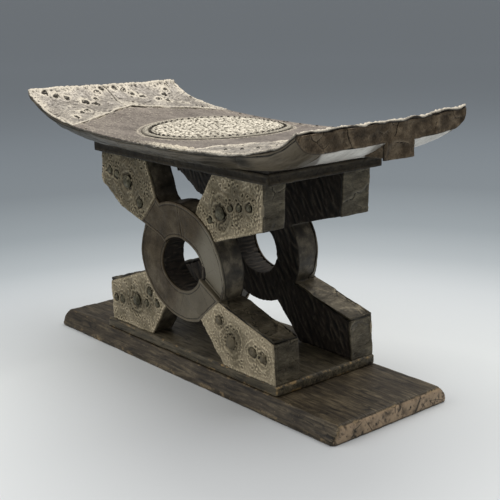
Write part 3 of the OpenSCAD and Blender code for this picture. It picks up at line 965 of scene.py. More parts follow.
# Each look: what makes it, the material's name, its colours as screen values, and its other settings
LOOK_TABLE = {
    "seat": (silver_sheet, "seat_silver", [(114, 108, 101), (153, 147, 139), (184, 179, 171),
                                           (217, 210, 195), (48, 41, 34)], {}),
    "field": (silver_sheet, "field_silver", [(84, 76, 71), (124, 115, 109), (160, 150, 141),
                                             (214, 206, 188), (38, 32, 27)], dict(grain=(2.6, 1, 1))),
    "medallion": (embossed_metal, "medallion_silver",
                  [(12, 10, 8), (152, 146, 132), (206, 200, 184), (226, 220, 205)], {}),
    "arm": (embossed_metal, "arm_metal",
            [(22, 18, 12), (124, 114, 92), (170, 160, 133), (214, 200, 172)], dict(paler=0.35)),
    "boss": (smooth_metal, "boss_metal", [(52, 50, 46), (84, 81, 75), (138, 134, 126)],
             dict(metallic=0.6, rough=(0.45, 0.3), size_mm=5)),
    "bead": (smooth_metal, "bead_metal", [(22, 19, 15), (44, 40, 34), (96, 90, 80)],
             dict(metallic=0.5, rough=(0.45, 0.3), size_mm=3)),
    # The arm bosses' last colour is painted light, laid on those low and right of the hole
    "arm_boss": (smooth_metal, "arm_boss_metal",
                 [(46, 44, 33), (80, 77, 62), (132, 127, 106), (104, 96, 79)], dict(size_mm=6)),
    # The band's last colour is painted light, laid on low and right of the ring
    "band": (smooth_metal, "band_metal", [(52, 44, 33), (76, 66, 51), (104, 94, 76), (120, 114, 100)], {}),
    "cap": (smooth_metal, "cap_metal", [(50, 45, 36), (84, 78, 65), (124, 116, 98)],
            dict(grain=(1, 2.2, 0.8), size_mm=14)),
    # The side's last colour is the painted highlight strip under the rim and the paler patches
    "side": (smooth_metal, "side_metal", [(34, 30, 23), (56, 51, 41), (96, 88, 73), (108, 99, 84)],
             dict(grain=(4, 1, 1))),
    "belly": (smooth_metal, "belly_metal",
              [(160, 157, 150), (190, 187, 180), (214, 211, 204), (86, 79, 68)],
              dict(metallic=0.5, rough=(0.45, 0.3), grain=(3, 1, 1))),
    "end": (smooth_metal, "end_metal", [(50, 41, 30), (92, 79, 63), (144, 128, 106)], dict(size_mm=14)),
    "strip": (smooth_metal, "strip_metal", [(34, 29, 22), (50, 44, 34), (78, 69, 54)],
              dict(grain=(4, 4, 1))),
    "base": (old_wood, "base_wood",
             [(32, 26, 19), (66, 58, 45), (118, 107, 86), (150, 130, 98), (158, 138, 114)], {}),
    "plinth": (old_wood, "plinth_wood",
               [(44, 40, 31), (80, 74, 60), (120, 111, 91), (172, 144, 98)], {}),
    "dark": (old_wood, "dark_wood", [(28, 24, 19), (46, 40, 33), (66, 58, 48), (104, 92, 76)], {}),
    "peg": (old_wood, "peg_wood", [(96, 74, 48), (128, 102, 70), (150, 124, 90), (150, 124, 90)],
            dict(grain=(1, 1, 9))),
    "timber": (clad_timber, "frame_timber", [(18, 14, 10), (50, 42, 33), (36, 32, 26), (68, 62, 51),
                                             (112, 104, 88), (10, 8, 6), (104, 96, 82)], {}),
}
LOOKS = {key: make(name, *(srgb(*colour) for colour in colours), **settings)
         for key, (make, name, colours, settings) in LOOK_TABLE.items()}


# ---------------------------------------------------------------- studio

# Where the camera looks from, in degrees round the object, up and rolled, and its place in metres
CAMERA_ANGLES = (49.94, 14.71, -0.945)
CAMERA_PLACE = (0.7944, -0.6443, 0.3844)
CAMERA_LENS_MM = 75.56
CAMERA_SENSOR_MM = 36
CAMERA_CLIP_END = 100
WORLD_COLOUR = (1.0, 0.975, 0.935, 1)
WORLD_STRENGTH = 0.36
LAMP_COLOUR = (1.0, 0.965, 0.92)
# Each lamp's name, place and size in metres, and power in watts
LAMPS = [("front_box", (-0.6, -1.0, 1.2), 1.2, 9), ("top_box", (0.1, 0.5, 1.6), 1.5, 21)]
# The floor's half width, and the middle of its painted pool of light and how far that reaches, in metres
FLOOR_REACH = 60
FLOOR_LIGHT_POOL_CENTRE = (0.2, -0.12, 0)
FLOOR_LIGHT_FADE = 4.0
# The floor's painted light as screen values, each at its share of that reach: painted shadow at the
# middle, a bright pool round it, then fading to slate far off
FLOOR_PAINTED_LIGHT = {0.02: (208, 213, 218), 0.08: (234, 240, 244), 0.13: (207, 214, 220),
                0.165: (176, 185, 192), 0.21: (151, 161, 169), 0.29: (133, 143, 152),
                0.42: (140, 151, 162), 1.0: (156, 168, 181)}


def studio():
    """Camera, a floor with a painted pool of light that fades to slate, and soft light from above."""
    scene = bpy.context.scene
    scene.view_settings.view_transform = "Standard"
    azimuth, elevation, roll = (math.radians(angle) for angle in CAMERA_ANGLES)
    back = Vector((math.sin(azimuth) * math.cos(elevation),
                   -math.cos(azimuth) * math.cos(elevation), math.sin(elevation)))
    level = Vector((math.cos(azimuth), math.sin(azimuth), 0))
    upright = back.cross(level)
    right = math.cos(roll) * level + math.sin(roll) * upright
    up = math.cos(roll) * upright - math.sin(roll) * level
    camera = bpy.data.objects.new("camera", bpy.data.cameras.new("camera"))
    camera.matrix_world = (Matrix.Translation(CAMERA_PLACE)
                           @ Matrix((right, up, back)).transposed().to_4x4())
    camera.data.lens = CAMERA_LENS_MM
    camera.data.sensor_width = CAMERA_SENSOR_MM
    camera.data.clip_end = CAMERA_CLIP_END
    scene.collection.objects.link(camera)
    scene.camera = camera
    floor_sheet()
    world = bpy.data.worlds.new("soft_room")
    world.use_nodes = True
    background = world.node_tree.nodes["Background"].inputs
    background["Color"].default_value = WORLD_COLOUR
    background["Strength"].default_value = WORLD_STRENGTH
    scene.world = world
    for lamp in LAMPS:
        softbox(*lamp)


def softbox(name, place, size, power):
    """A square lamp that looks at the object."""
    lamp = bpy.data.lights.new(name, "AREA")
    lamp.size = size
    lamp.energy = power
    lamp.color = LAMP_COLOUR
    holder = bpy.data.objects.new(name, lamp)
    holder.location = place
    holder.rotation_euler = Vector(place).to_track_quat("Z", "Y").to_euler()
    bpy.context.scene.collection.objects.link(holder)


def floor_sheet():
    """The floor, with a painted pool of light round the object that fades to slate far away."""
    low, high = -FLOOR_REACH, FLOOR_REACH
    mesh = bpy.data.meshes.new("floor")
    mesh.from_pydata([(low, low, 0), (high, low, 0), (high, high, 0), (low, high, 0)], [], [(0, 1, 2, 3)])
    floor = bpy.data.objects.new("floor", mesh)
    bpy.context.scene.collection.objects.link(floor)
    look = Look("floor", 0.0, 0.2)
    centre = look.node("VectorMath", [(0, look.place), (1, FLOOR_LIGHT_POOL_CENTRE)], operation="DISTANCE")
    # Painted light: the floor's colour is set by its distance from the pool's middle
    far = look.span(centre.outputs["Value"], 0.0, FLOOR_LIGHT_FADE)
    colours = [srgb(*colour) for colour in FLOOR_PAINTED_LIGHT.values()]
    mesh.materials.append(look.finish(look.ramp(far, list(FLOOR_PAINTED_LIGHT), colours), 0.6))


# ---------------------------------------------------------------- the seat's top

def boss_spots(node, axis):
    """Centre and radius of each boss of a CAD node, seen along an axis."""
    seen = other_axes(axis)
    return [((low + high)[seen] / 2, float((high - low)[seen[1]]) / 2) for low, high in loose_parts(node)]


def rings_round(uv, spots, sunk, raised):
    """A sunk ring close round each boss and a raised one outside it."""
    total = np.zeros(len(uv))
    uv = warped(uv, 1.6, 6, 31)
    for centre, radius in spots:
        distance = norms(uv - centre)
        total -= sunk * bump_at(distance, 0.95 * radius, 0.2 * radius + 0.35)
        total += raised * bump_at(distance, 1.4 * radius, 0.16 * radius + 0.4)
    return total


def outer_rings(uv, spots):
    """A second, fainter ring round each of the larger bosses."""
    total = np.zeros(len(uv))
    uv = warped(uv, 2.6, 8, 34)
    for centre, radius in spots:
        distance = norms((uv - centre) * [1, 0.85])
        total = np.maximum(total, bump_at(distance, 1.95 * radius, 0.14 * radius + 0.4) * (radius > 4))
    return total


def near_spots(uv, spots, reach):
    """From 1 at a boss down to 0 at reach times its radius."""
    total = np.zeros(len(uv))
    for centre, radius in spots:
        distance = norms(uv - centre)
        total = np.maximum(total, ease(1.5 - distance / (reach * radius)))
    return total


def grains(uv, size, seed):
    """Small round grains from 0 to 1."""
    distance, tag = scattered(uv, size, seed)
    return bump_at(distance, 0, 0.34 * size) * (0.35 + 0.65 * tag)


def end_panel(spots, seed, crust_mm, crack=None):
    """Relief and mask of an end panel: crumpled sheet, granular at its edges and round its bosses."""
    def mask(uv, edge):
        patches = ease(0.5 + noise(uv, 23, seed + 7)) * 0.5
        return 0.9 * np.exp(-edge / 6) + 0.6 * near_spots(uv, spots, 2.2) + patches

    def relief(uv, edge):
        flats, crease = facets(uv, 26, seed, 0.07)
        folds = 0.6 * creases(uv * [1, 0.6], 14, seed + 1) + 0.5 * creases(uv, 6, seed + 2)
        granular = np.clip(mask(uv, edge), 0, 1)
        height = 0.2 + flats + 0.9 * folds + 0.5 * granular * grains(uv, 2.6, seed + 3)
        height += 0.26 * fractal(uv * [1, 0.6], 4, seed + 4, 4) - 0.3 * bump_at(crease, 0, 0.8)
        end = bump_at(SEAT_HALF - np.abs(uv[:, 0]), 0.5, 2.5)
        height += end * crust_mm * (0.9 + 1.2 * fractal(uv, 4, seed + 5, 3))
        height += 0.5 * bump_at(edge, 1.2, 1.3)
        if crack is not None:
            height -= 2.4 * bump_at(off_line(uv, crack), 0, 0.8)
        return height + rings_round(uv, spots, 0.9, 0.2)
    return relief, mask


def round_medallion(uv):
    """Distance from the medallion's centre as a share of its radius."""
    return norms((uv - MEDALLION_CENTRE) / MEDALLION_RADII)


def field_mask(uv, edge):
    """How thick the pale grains lie on the plain field: along its near side and round the medallion."""
    near_side = rise(-uv[:, 1], 35, 95)
    left_side = rise(-uv[:, 0], 60, 140)
    halo = bump_at(round_medallion(uv), 1.02, 0.06)
    return 0.26 + 0.05 * near_side + 0.1 * left_side + 0.4 * halo + 0.2 * np.exp(-edge / 3)


def field_relief(uv, edge):
    """The plain field: a few soft waves and small grains."""
    rim = bump_at(round_medallion(uv), 1.05, 0.012)
    seam = rise(-uv[:, 0], 95, 115)
    dots = seam * ease(0.25 + 2 * noise(uv, 7, 66)) * bump_at(edge, 0.4, 0.7)
    lifted = bump_at(off_line(uv, LIFTED), 0, 2.8)
    covered = ease((0.98 - round_medallion(uv)) / 0.03)
    return (0.25 * fractal(uv, 38, 62, 3) + 0.1 * fractal(uv * [0.5, 1], 4, 63, 3)
            + 0.2 * bump_at(edge, 1, 1.2) + 0.4 * field_mask(uv, edge) * grains(uv, 2.4, 61) + 0.4 * rim
            - 2 * dots - 2.5 * lifted - 1.2 * covered)


def medallion_mask(uv, edge):
    return np.ones(len(uv))


def medallion_relief(uv, edge):
    """The medallion: winding beaten ridges and knobs inside a double rim."""
    winding = np.tanh(1.3 * ripples(warped(uv, 3, 8, 71) * [0.8, 1], 6.2, 73))
    pits, tag = scattered(warped(uv, 1.5, 5, 77), 6, 74)
    inner = np.clip((edge - BEAD_INSET - 3) / 2, 0, 1)
    pattern = 0.9 * winding - 2.2 * bump_at(pits, 0, 1.5) * (tag > 0.3) + 0.4 * fractal(uv, 5, 75, 3)
    gaps = 0.9 * bump_at(edge, BEAD_INSET, 1.8)
    rims = 0.3 * bump_at(edge, 1.2, 0.9) + 0.2 * bump_at(edge, BEAD_INSET - 4, 0.8)
    fade = ease(edge / 3)
    return fade * (0.75 + inner * pattern - gaps + rims) + 0.5 * grains(uv, 2.4, 76)


def crust_fold(uv):
    """How far the top sheets hang over the seat's edges: little at the near left, ragged elsewhere."""
    plain = ease((20 - uv[:, 0]) / 60) * (uv[:, 1] < -80) * (uv[:, 0] > -205)
    ragged = 2.1 * (1 + 0.6 * fractal(uv, 13, 18, 2))
    return ragged * (1 - plain) + 1.2 * plain


def strip_looks(seed, start, run):
    """Relief and mask of a long edge strip, whose crust begins at x = start and is full after run."""
    def mask(uv, edge):
        return 0.4 + 0.6 * ease((uv[:, 0] - start) / run)

    def relief(uv, edge):
        crust = ease((uv[:, 0] - start) / run)
        lumps = 0.7 * creases(uv, 8, seed + 1) + 0.7 * grains(uv, 3, seed + 2)
        dashes, tag = scattered(warped(uv, 2, 6, seed + 5) * [0.4, 1], 5, seed + 6)
        lumps -= 1.3 * bump_at(dashes, 0, 1.0) * (tag > 0.35)
        return (0.5 + 1.3 * crust * lumps + (0.2 + 0.2 * crust) * grains(uv, 2.2, seed + 3)
                + (0.06 + 0.2 * crust) * fractal(uv, 4, seed + 4, 3)
                + 0.25 * crust * bump_at(edge, 1.2, 1.2))
    return relief, mask


# How far under the sheet a dome begins, in mm
DOME_SINK = 1.2
# A dome, ring by ring: its share of the radius, its share of the height, or None where it begins,
# and its tone, which is painted shade dark at its foot and sides and a painted highlight over its top
DOME_RINGS_AND_PAINTED_SHADE = [(1.0, None, 0.05), (1.02, 0.0, 0.1), (0.98, 0.3, 0.4), (0.9, 0.5, 0.55),
                (0.8, 0.5, 0.3), (0.7, 0.7, 0.5), (0.52, 0.92, 0.6), (0.32, 1.0, 0.65), (0.14, 0.97, 0.6)]


def dome(base, normal, radius, tall, segments, seed, dented):
    """One beaten dome with a shallow ring round it, closed underneath, with painted shade on its sides and
    a painted highlight on its top.
    """
    across = np.cross(normal, [0.3, 0.9, 0.2])
    across /= np.linalg.norm(across)
    angles = 2 * math.pi * np.arange(segments) / segments
    circle = np.outer(np.cos(angles), across) + np.outer(np.sin(angles), np.cross(normal, across))
    points, tones, faces = [], [], []
    for share, level, tone in DOME_RINGS_AND_PAINTED_SHADE:
        high = -DOME_SINK if level is None else level * tall
        points.append(base + radius * share * circle + normal * high)
        # Painted shade and painted highlight: each ring takes its tone from the profile
        tones += [tone] * segments
    points += [(base + normal * 0.95 * tall)[None, :], (base - normal * DOME_SINK)[None, :]]
    points = np.concatenate(points)
    last = (len(DOME_RINGS_AND_PAINTED_SHADE) - 1) * segments
    for step in range(segments):
        after = (step + 1) % segments
        for ring in range(0, last, segments):
            faces += [(ring + step, ring + after, ring + segments + after),
                      (ring + step, ring + segments + after, ring + segments + step)]
        faces += [(last + step, last + after, last + segments), (after, step, last + segments + 1)]
    dents = dented * radius * fractal(points, 0.8 * radius + 1, seed, 2)
    points = points + unit(points - (base - normal * 0.5 * tall)) * dents[:, None]
    # The top point gets the painted highlight's tone and the closed bottom none
    return Shape(points, np.array(faces), np.array(tones + [0.6, 0.0]))


def domes(node, axis, place, height_share, size_share, seed, segments=26, dented=0.2):
    """Beaten domes at a CAD node's bosses. place(uv) gives where they stand."""
    shapes = []
    for number, (centre, radius) in enumerate(boss_spots(node, axis)):
        base, normal = place(centre[None, :])
        shapes.append(dome(base[0], normal[0], size_share * radius, height_share * radius + 0.5,
                           segments, seed + number, dented))
    return shapes


def seat_piece(node, shapes, look, name=None):
    make_piece(node, shapes, look, name, seat_bend)


def top_sheet(node, place, relief, **how):
    return [sheet(outline_loops(node, Z, UP), place, relief, **how)]


def seat_top():
    for end, seed, crust_mm, crack in (("left", 60, 0.5, PANEL_CRACK), ("right", 140, 0.9, None)):
        node = end + "_end_panel"
        bosses = end + "_panel_bosses"
        relief, mask = end_panel(boss_spots(bosses, Z), seed, crust_mm, crack)
        skin = top_sheet(node, on_top, relief, pitch=0.75, seed=seed, contrast_mm=0.85,
                         fold=crust_fold, rounds=8, mask=mask)
        seat_piece(node, skin, "seat")
        beaten = domes(bosses, Z, on_top, height_share=0.5, size_share=0.68, seed=seed)
        seat_piece(bosses, beaten, "boss", bosses + "_domes")
    node = "seat_field_sheet"
    skin = top_sheet(node, on_top, field_relief, pitch=0.9, seed=4, contrast_mm=0.6, mask=field_mask)
    seat_piece(node, skin, "field", "seat_field_skin")
    node = "medallion_sheet"
    skin = top_sheet(node, on_medallion, medallion_relief, pitch=0.75, seed=6, contrast_mm=0.9,
                     fold=even_fold(1.2), back=1.0, mask=medallion_mask)
    seat_piece(node, skin, "medallion", "medallion_skin")
    node = "medallion_beads"
    beaten = domes(node, Z, on_medallion, height_share=0.6, size_share=0.88, seed=8, segments=12)
    seat_piece(node, beaten, "bead", "medallion_bead_ring")
    for node, seed, start, run in (("near_edge_strip", 12, -30, 70), ("far_edge_strip", 13, -130, -60)):
        relief, mask = strip_looks(seed, start, run)
        skin = top_sheet(node, on_top, relief, pitch=0.8, seed=seed, contrast_mm=0.8,
                         fold=crust_fold, mask=mask)
        seat_piece(node, skin, "field")
    node = "far_edge_nails"
    beaten = domes(node, Z, on_top, height_share=0.5, size_share=0.9, seed=9, segments=16)
    seat_piece(node, beaten, "boss", "far_edge_nail_heads")


# ---------------------------------------------------------------- the seat's sides and underside

def side_highlight_and_patches(uv, edge):
    """A painted highlight strip under the rim, and paler patches towards the ends."""
    out = np.abs(uv[:, 0])
    # Painted highlight: the strip under the rim, fading out towards the ends
    strip = ease((10.5 + 1.6 * noise(uv, 35, 23) - uv[:, 1]) / 1.2) * ease((120 - out) / 50)
    return 0.5 * strip + ease(0.9 + 1.5 * noise(uv, 38, 24)) * rise(uv[:, 0], 90, 140)


def beaten_side(seed):
    """The seat's side sheets: long flats and creases, with a groove under the rim."""
    def relief(uv, edge):
        flats, crease = facets(warped(uv, 5, 30, seed + 4) * [0.45, 1], 19, seed, 0.1)
        open_folds = ease(0.2 + 1.6 * noise(uv, 40, seed + 6))
        down = uv[:, 1] + 1.6 * noise(uv, 35, seed + 2)
        plain = ease((110 - np.abs(uv[:, 0])) / 50)
        groove = plain * (0.4 * bump_at(down, 9.4, 0.9) - 0.8 * bump_at(down, 10.6, 0.5))
        under_rim = 1.0 * bump_at(uv[:, 1] + 0.5 * noise(uv, 12, seed + 9), 1.6, 0.7)
        return (flats - 0.8 * open_folds * bump_at(crease, 0, 0.5) + groove - under_rim
                + 0.3 * fractal(uv * [0.25, 1], 4, seed + 3, 4))
    return relief


def folded_sheet(seed, size, slope, split=0.8):
    """Stiff sheet beaten round a timber: leaning flats that here and there meet in dark folds."""
    def relief(uv, edge):
        bend = warped(warped(uv, 9, 26, seed + 4), 3, 9, seed + 8)
        flats, crease = facets(bend * [0.7, 1], size, seed, slope)
        small, small_crease = facets(warped(uv, 5, 14, seed + 9) * [0.6, 1], 0.45 * size, seed + 3, slope)
        open_folds = ease(0.35 + 1.6 * noise(uv, 24, seed + 6))
        small_folds = ease(0.1 + 1.6 * noise(uv, 17, seed + 11))
        return (0.2 + flats + 0.5 * small - split * open_folds * bump_at(crease, 0, 0.55)
                - 0.7 * split * small_folds * bump_at(small_crease, 0, 0.4)
                + 0.25 * fractal(uv, 8, seed + 13, 4) + 0.25 * bump_at(edge, 1.2, 0.9))
    return relief


def belly_mask(uv, edge):
    """Where the near side's darker sheet is carried on under the seat, away from its ends."""
    carried = 0.67 * (SEAT_HALF - np.abs(uv[:, 0])) - (uv[:, 1] + BELLY_SIDE)
    return ease(0.5 + carried / 2) * (uv[:, 1] < 0)


def seat_sides():
    length = SEAT_HALF - 0.6
    run = np.array([[-length, 0.0], [length, 0.0], [length, SIDE_RUN], [-length, SIDE_RUN]])
    for node, side, seed in (("near_side_sheet", NEAR, 21), ("far_side_sheet", FAR, 25)):
        skin = sheet([run], on_side(side), beaten_side(seed), pitch=0.8, seed=seed, contrast_mm=0.9,
                     mask=side_highlight_and_patches)
        seat_piece(node, [skin], "side")
    node = "belly_sheet"
    folds = folded_sheet(29, size=34, slope=0.04, split=0.1)
    skin = sheet(outline_loops(node, Z, DOWN), on_belly, folds, pitch=1.4, seed=29, contrast_mm=1.2,
                 mask=belly_mask)
    seat_piece(node, [skin], "belly", "belly_skin")
    for node, side, seed in (("left_end_sheet", LEFT, 33), ("right_end_sheet", RIGHT, 37)):
        loops = [bulged(loop) for loop in outline_loops(node, X, side)]
        folds = folded_sheet(seed, size=34, slope=0.1, split=1.0)
        skin = sheet(loops, on_plane(X, side * SEAT_HALF, side), folds, pitch=0.75, seed=seed,
                     contrast_mm=0.9)
        seat_piece(node, [skin], "end")


# ---------------------------------------------------------------- the two frames

def arm_mask(spots, seed, pale):
    """Where an arm's face is granular: along its edges and in patches, but not round its bosses. pale
    shifts the whole arm, as painted light on the lower arms and painted shade on the upper left.
    """
    def mask(uv, edge):
        return (pale + 0.8 * np.exp(-edge / 8) + 0.6 * noise(uv, 18, seed + 6)
                - 0.4 * near_spots(uv, spots, 1.6))
    return mask


def gooseflesh(spots, seed, pale, strength):
    """Arm and leg faces: small rings and pits, fine wavy lines, and larger rings round the bosses."""
    mask = arm_mask(spots, seed, pale)

    def relief(uv, edge):
        granular = np.clip(mask(uv, edge), 0, 1)
        distance, tag = scattered(warped(uv, 1.4, 5, seed + 8), 6.2, seed)
        chosen = (tag > 0.4) * (0.4 + 0.6 * tag)
        reach = 0.9 + 1.1 * tag
        rings = chosen * (0.6 * bump_at(distance, reach, 0.45) - 1.1 * bump_at(distance, 0, 0.6 * reach))
        lines = 0.3 * ripples(uv, 3.4, seed + 3) * ease(0.1 + 1.3 * noise(uv, 15, seed + 4))
        uneven = (0.9 * fractal(uv, 17, seed + 1, 3) + 0.4 * creases(uv, 10, seed + 7)
                  + 0.2 * fractal(uv, 3, seed + 2, 3))
        beaten = strength * (rings + lines + uneven + 0.6 * granular * grains(uv, 2.3, seed + 5))
        return (beaten + 0.3 * bump_at(edge, 1.2, 1.0)
                + rings_round(uv, spots, 2.8 * strength - 1.7, 0.5)
                + 0.5 * outer_rings(uv, spots))
    return relief, mask


def strand_dip(uv, dip):
    """How far a strand of the ring dips in mm at uv = (x, z)."""
    side, seam, deep, reach = dip
    return deep * ease(1 - off_line(uv, seam) / reach) * (uv[:, 0] * side > 0)


def knot_dip(uv):
    """How far the timber dips under the two strands, at uv = (x, z)."""
    over = uv[:, 1] > np.interp(uv[:, 0], *zip(*CROSSING))
    deep = np.where(over, strand_dip(uv, OVER_DIP), strand_dip(uv, UNDER_DIP))
    either = np.maximum(strand_dip(uv, OVER_DIP), strand_dip(uv, UNDER_DIP))
    near_seam = off_line(uv, LEFT_SEAM, RIGHT_SEAM) < 4
    return np.where(near_seam, either, deep) + 0.9 * (either > 0.3)


def on_strand(level, side, dip):
    """Points and normals on one strand of a ring, for uv = (x, z)."""
    flat = on_plane(Y, level, side)

    def place(uv):
        points, normals = flat(uv)
        return points - normals * strand_dip(uv, dip)[:, None], normals
    return place


def band_fold(uv):
    """How far a band is turned down at its rim: all its thickness where it passes over the other."""
    return 2.4 + 4 * ease(1.3 - off_line(uv, LEFT_SEAM, RIGHT_SEAM) / 6)


def band(seed, seam):
    """The smooth bands round the rings: a rolled edge inside a fine groove, and sometimes a seam."""
    def relief(uv, edge):
        flats, crease = facets(uv, 27, seed, 0.022)
        waver = 0.5 * fractal(uv, 14, seed + 3, 2)
        height = (flats - 0.12 * bump_at(crease, 0, 0.8) + 0.3 * fractal(uv, 16, seed + 2, 4)
                  + 0.25 * bump_at(edge, 0.9, 0.9) - 0.3 * bump_at(edge + waver, 2.7, 0.45))
        if seam is not None:
            gap = off_line(uv + 1.2 * waver[:, None], seam)
            deep = 0.7 * ease(0.6 + noise(uv, 8, seed + 4))
            height += 0.15 * bump_at(gap, 1.6, 1.0) - deep * bump_at(gap, 0, 0.4)
        return height
    return relief


def band_painted_light(share):
    """Painted light on a band: paler metal on the right and low on the ring."""
    return lambda uv, edge: share * ease((uv[:, 0] + 0.55 * (128 - uv[:, 1]) - 8) / 26)


# Each arm's sheet: how much paler than the others it is, as painted light on the lower arms and painted
# shade on the upper left arm under the seat, and how strongly it is beaten
ARM_SHEETS_AND_PAINTED_LIGHT = [("upper_left", -0.3, 1), ("upper_right", 0.15, 1),
              ("lower_left", 0.25, 0.85), ("lower_right", 0.5, 0.75)]
# Each strand's band: where it dips, its join, and its share of the painted light's paler metal
STRANDS = [("over_band", OVER_DIP, OVER_JOIN, 1), ("under_band", UNDER_DIP, None, 0.5)]


def face_level(node, axis, sign):
    """How far a CAD node reaches along an axis, on one side."""
    low, high = box_mm(node)
    return (low if sign < 0 else high)[axis]


def frame_sheets(prefix, side):
    spots = boss_spots(prefix + "bosses", Y)
    seed = 240 + 40 * side
    # Each arm's pale share is painted light and shade, carried into its mask
    for corner, pale, strength in ARM_SHEETS_AND_PAINTED_LIGHT:
        node = prefix + corner + "_sheet"
        seed += 7
        relief, mask = gooseflesh(spots, seed, pale, strength)
        skin = sheet(outline_loops(node, Y, side), on_plane(Y, face_level(node, Y, side), side), relief,
                     pitch=0.68, seed=seed, contrast_mm=1.0, fold=even_fold(3, 0.3), wobble=0.4,
                     rounds=6, mask=mask)
        make_piece(node, [skin], "arm")
    for name, dip, seam, pale in STRANDS:
        node = prefix + name
        seed += 7
        skin = sheet(outline_loops(node, Y, side), on_strand(face_level(node, Y, side), side, dip),
                     band(seed, seam), pitch=0.75, seed=seed, contrast_mm=0.6, fold=band_fold,
                     mask=band_painted_light(pale))
        make_piece(node, [skin], "band")
    node = prefix + "end_caps"
    caps = [sheet([loop], on_node(node, X, end, own_side=True),
                  folded_sheet(seed + 7 + end, size=30, slope=0.06), pitch=0.9, seed=seed + end,
                  contrast_mm=0.9)
            for end in (LEFT, RIGHT) for loop in outline_loops(node, X, end, own_side=True)]
    make_piece(node, caps, "cap")
    node = prefix + "leg_top_sheets"
    folds = folded_sheet(seed + 8, size=26, slope=0.08, split=0.9)
    tops = [sheet([loop], on_node(node, Z, UP), folds, pitch=0.9, seed=seed, contrast_mm=0.6)
            for loop in outline_loops(node, Z, UP)]
    make_piece(node, tops, "cap")
    make_piece(prefix + "bosses", frame_domes(prefix, side, seed), "arm_boss",
               prefix + "boss_domes")


def frame_domes(prefix, side, seed):
    """The bosses of one frame, each standing at its own sheet's level, with painted light on those low and
    right of the hole.
    """
    levels = [(0.5 * (low + high)[[0, 2]], low[1] if side == FAR else high[1])
              for low, high in loose_parts(prefix + "bosses")]

    def place(uv):
        nearest = min(levels, key=lambda spot: float(np.abs(spot[0] - uv[0]).sum()))
        return on_plane(Y, nearest[1], side)(uv)
    shapes = domes(prefix + "bosses", Y, place, height_share=0.3, size_share=0.8, seed=seed,
                   dented=0.13)
    for shape in shapes:
        middle = shape.points.mean(0)
        # Painted light: bosses low and right of the hole take the paler second metal and a flatter tone
        if middle[0] > HOLE_CENTRE[0] and middle[2] < HOLE_CENTRE[1]:
            shape.mask += 0.9
            shape.tone = 0.25 + 0.5 * shape.tone
    return shapes


def in_hole(points, margin):
    """Which points lie in the bore through the rings, widened by margin."""
    x = points[:, 0] - HOLE_CENTRE[0]
    z = points[:, 2] - HOLE_CENTRE[1]
    along = x * math.cos(HOLE_TILT) + z * math.sin(HOLE_TILT)
    across = z * math.cos(HOLE_TILT) - x * math.sin(HOLE_TILT)
    return (along / (HOLE_RADII[0] + margin)) ** 2 + (across / (HOLE_RADII[1] + margin)) ** 2 < 1


def frame_timber(node, side):
    """One frame's timber: clad outer walls, rough tool marks in the bore and on the inner face."""
    low, high = box_mm(node)
    inner_face = min(abs(low[1]), abs(high[1]))

    def relief(points, normals):
        inner = np.clip(-side * normals[:, 1] * 2 - 0.6, 0, 1)
        bore = in_hole(points, 3) & (np.abs(normals[:, 1]) < 0.6)
        slanted = points @ np.array([[0.5, 0, 0.85], [0.1, 0.25, 0], [-0.85, 0, 0.5]])
        gouges = (0.8 * creases(slanted * [0.25, 1, 1], 5, 81)
                  + 0.4 * fractal(slanted * [0.3, 1, 1], 3, 82, 3))
        turned = np.column_stack([points[:, 0] * 0.8, points[:, 1] * 0.2, points[:, 2]])
        chatter = 0.7 * creases(turned, 3.6, 83) + 0.3 * fractal(turned, 3, 84, 2)
        walls = 0.45 * creases(points * [1, 0.6, 1], 19, 85) + 0.12 * fractal(points, 5, 86, 3)
        front = np.clip(side * normals[:, 1] * 2 - 0.6, 0, 1)
        height = np.where(bore, chatter - 0.8, walls - 0.5)
        height = height * (1 - inner) + inner * (gouges - 0.7)
        dip = np.zeros(len(points))
        ringed = front > 0
        dip[ringed] = knot_dip(points[ringed][:, [0, 2]])
        return height * (1 - front) - (0.9 + dip) * front

    def clad(points, normals):
        outer = np.abs(points[:, 1]) > inner_face + 2.2
        return outer & ~in_hole(points, 2.5)

    shape = carved(node, 1.25, relief, contrast_mm=0.9, mask=clad)
    make_piece(node, [shape], "timber", node + "_timber")


# ---------------------------------------------------------------- base, ledge and seat board

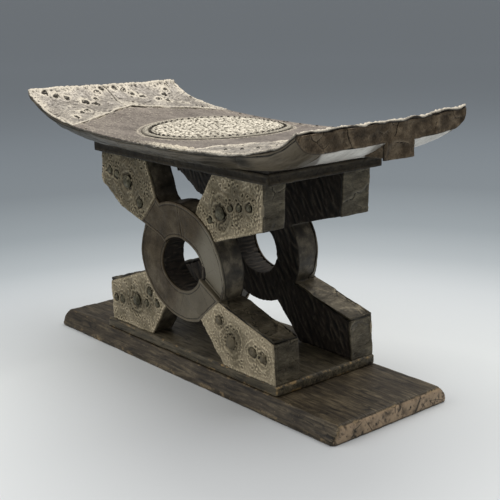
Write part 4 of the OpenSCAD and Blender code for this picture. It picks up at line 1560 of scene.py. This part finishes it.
def plank(seed, depth=0.35, sunk=0.2):
    """Planed and worn wood: grain along x, and dents. sunk is how far the whole face goes in."""
    def relief(points, normals):
        grain = fractal(points * [0.08, 1, 1], 3.2, seed, 3)
        dents = np.minimum(noise(points, 17, seed + 1), 0)
        return depth * (0.5 * grain + 0.9 * dents + 0.5 * noise(points, 45, seed + 2)) - sunk
    return relief


def bare_ends(points, normals):
    """The ends of the base board, where its bare wood shows."""
    return ease((np.abs(normals[:, 0]) - 0.88) / 0.1)


def plank_piece(node, look, voxel, relief, mask=None, bend=None):
    shape = carved(node, voxel, relief, mask=mask)
    make_piece(node, [shape], look, node + "_timber", bend)


def timbers():
    low, high = box_mm("base_board")
    rounded = soft_box([low[0], low[1], -SEAT_HALF], high, 5)
    plank_piece("base_board", "base", 1.5, plank(91, 0.6), bare_ends,
                lambda points: np.maximum(rounded(points), [-np.inf, -np.inf, low[2]]))
    low, high = box_mm("plinth")
    plank_piece("plinth", "plinth", 1.3, plank(92, 0.6),
                bend=soft_box([low[0], low[1], -SEAT_HALF], high, 3))
    plank_piece("ledge", "dark", 1.3, plank(94))
    plank_piece("seat_board", "end", 1.8, plank(96, sunk=1.2), bend=seat_bend)
    for name, axis, seed, cut_seed in (("ledge_side_strip", Y, 97, 97), ("ledge_end_strip", X, 98, 99)):
        node = name + "s"
        folds = folded_sheet(seed, size=40, slope=0.02, split=0.2)
        strips = [sheet([loop], on_plane(axis, face_level(node, axis, side), side), folds, pitch=0.9,
                        seed=cut_seed + side, contrast_mm=0.5, fold=even_fold(1.1), back=0.9)
                  for side in (-1, 1) for loop in outline_loops(node, axis, side, own_side=True)]
        make_piece(node, strips, "strip", name + "_skin")


def hidden_pegs():
    """The pegs stay as CAD nodes and get a plain split-wood material."""
    for name in ("base_pegs", "seat_pegs"):
        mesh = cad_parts[name].data
        mesh.materials.clear()
        mesh.materials.append(LOOKS["peg"])


def main():
    studio()
    seat_top()
    seat_sides()
    for name, side in (("near", NEAR), ("far", FAR)):
        frame_sheets(name + "_", side)
    for name, side in (("near", NEAR), ("far", FAR)):
        frame_timber(name + "_frame", side)
    timbers()
    hidden_pegs()


main()
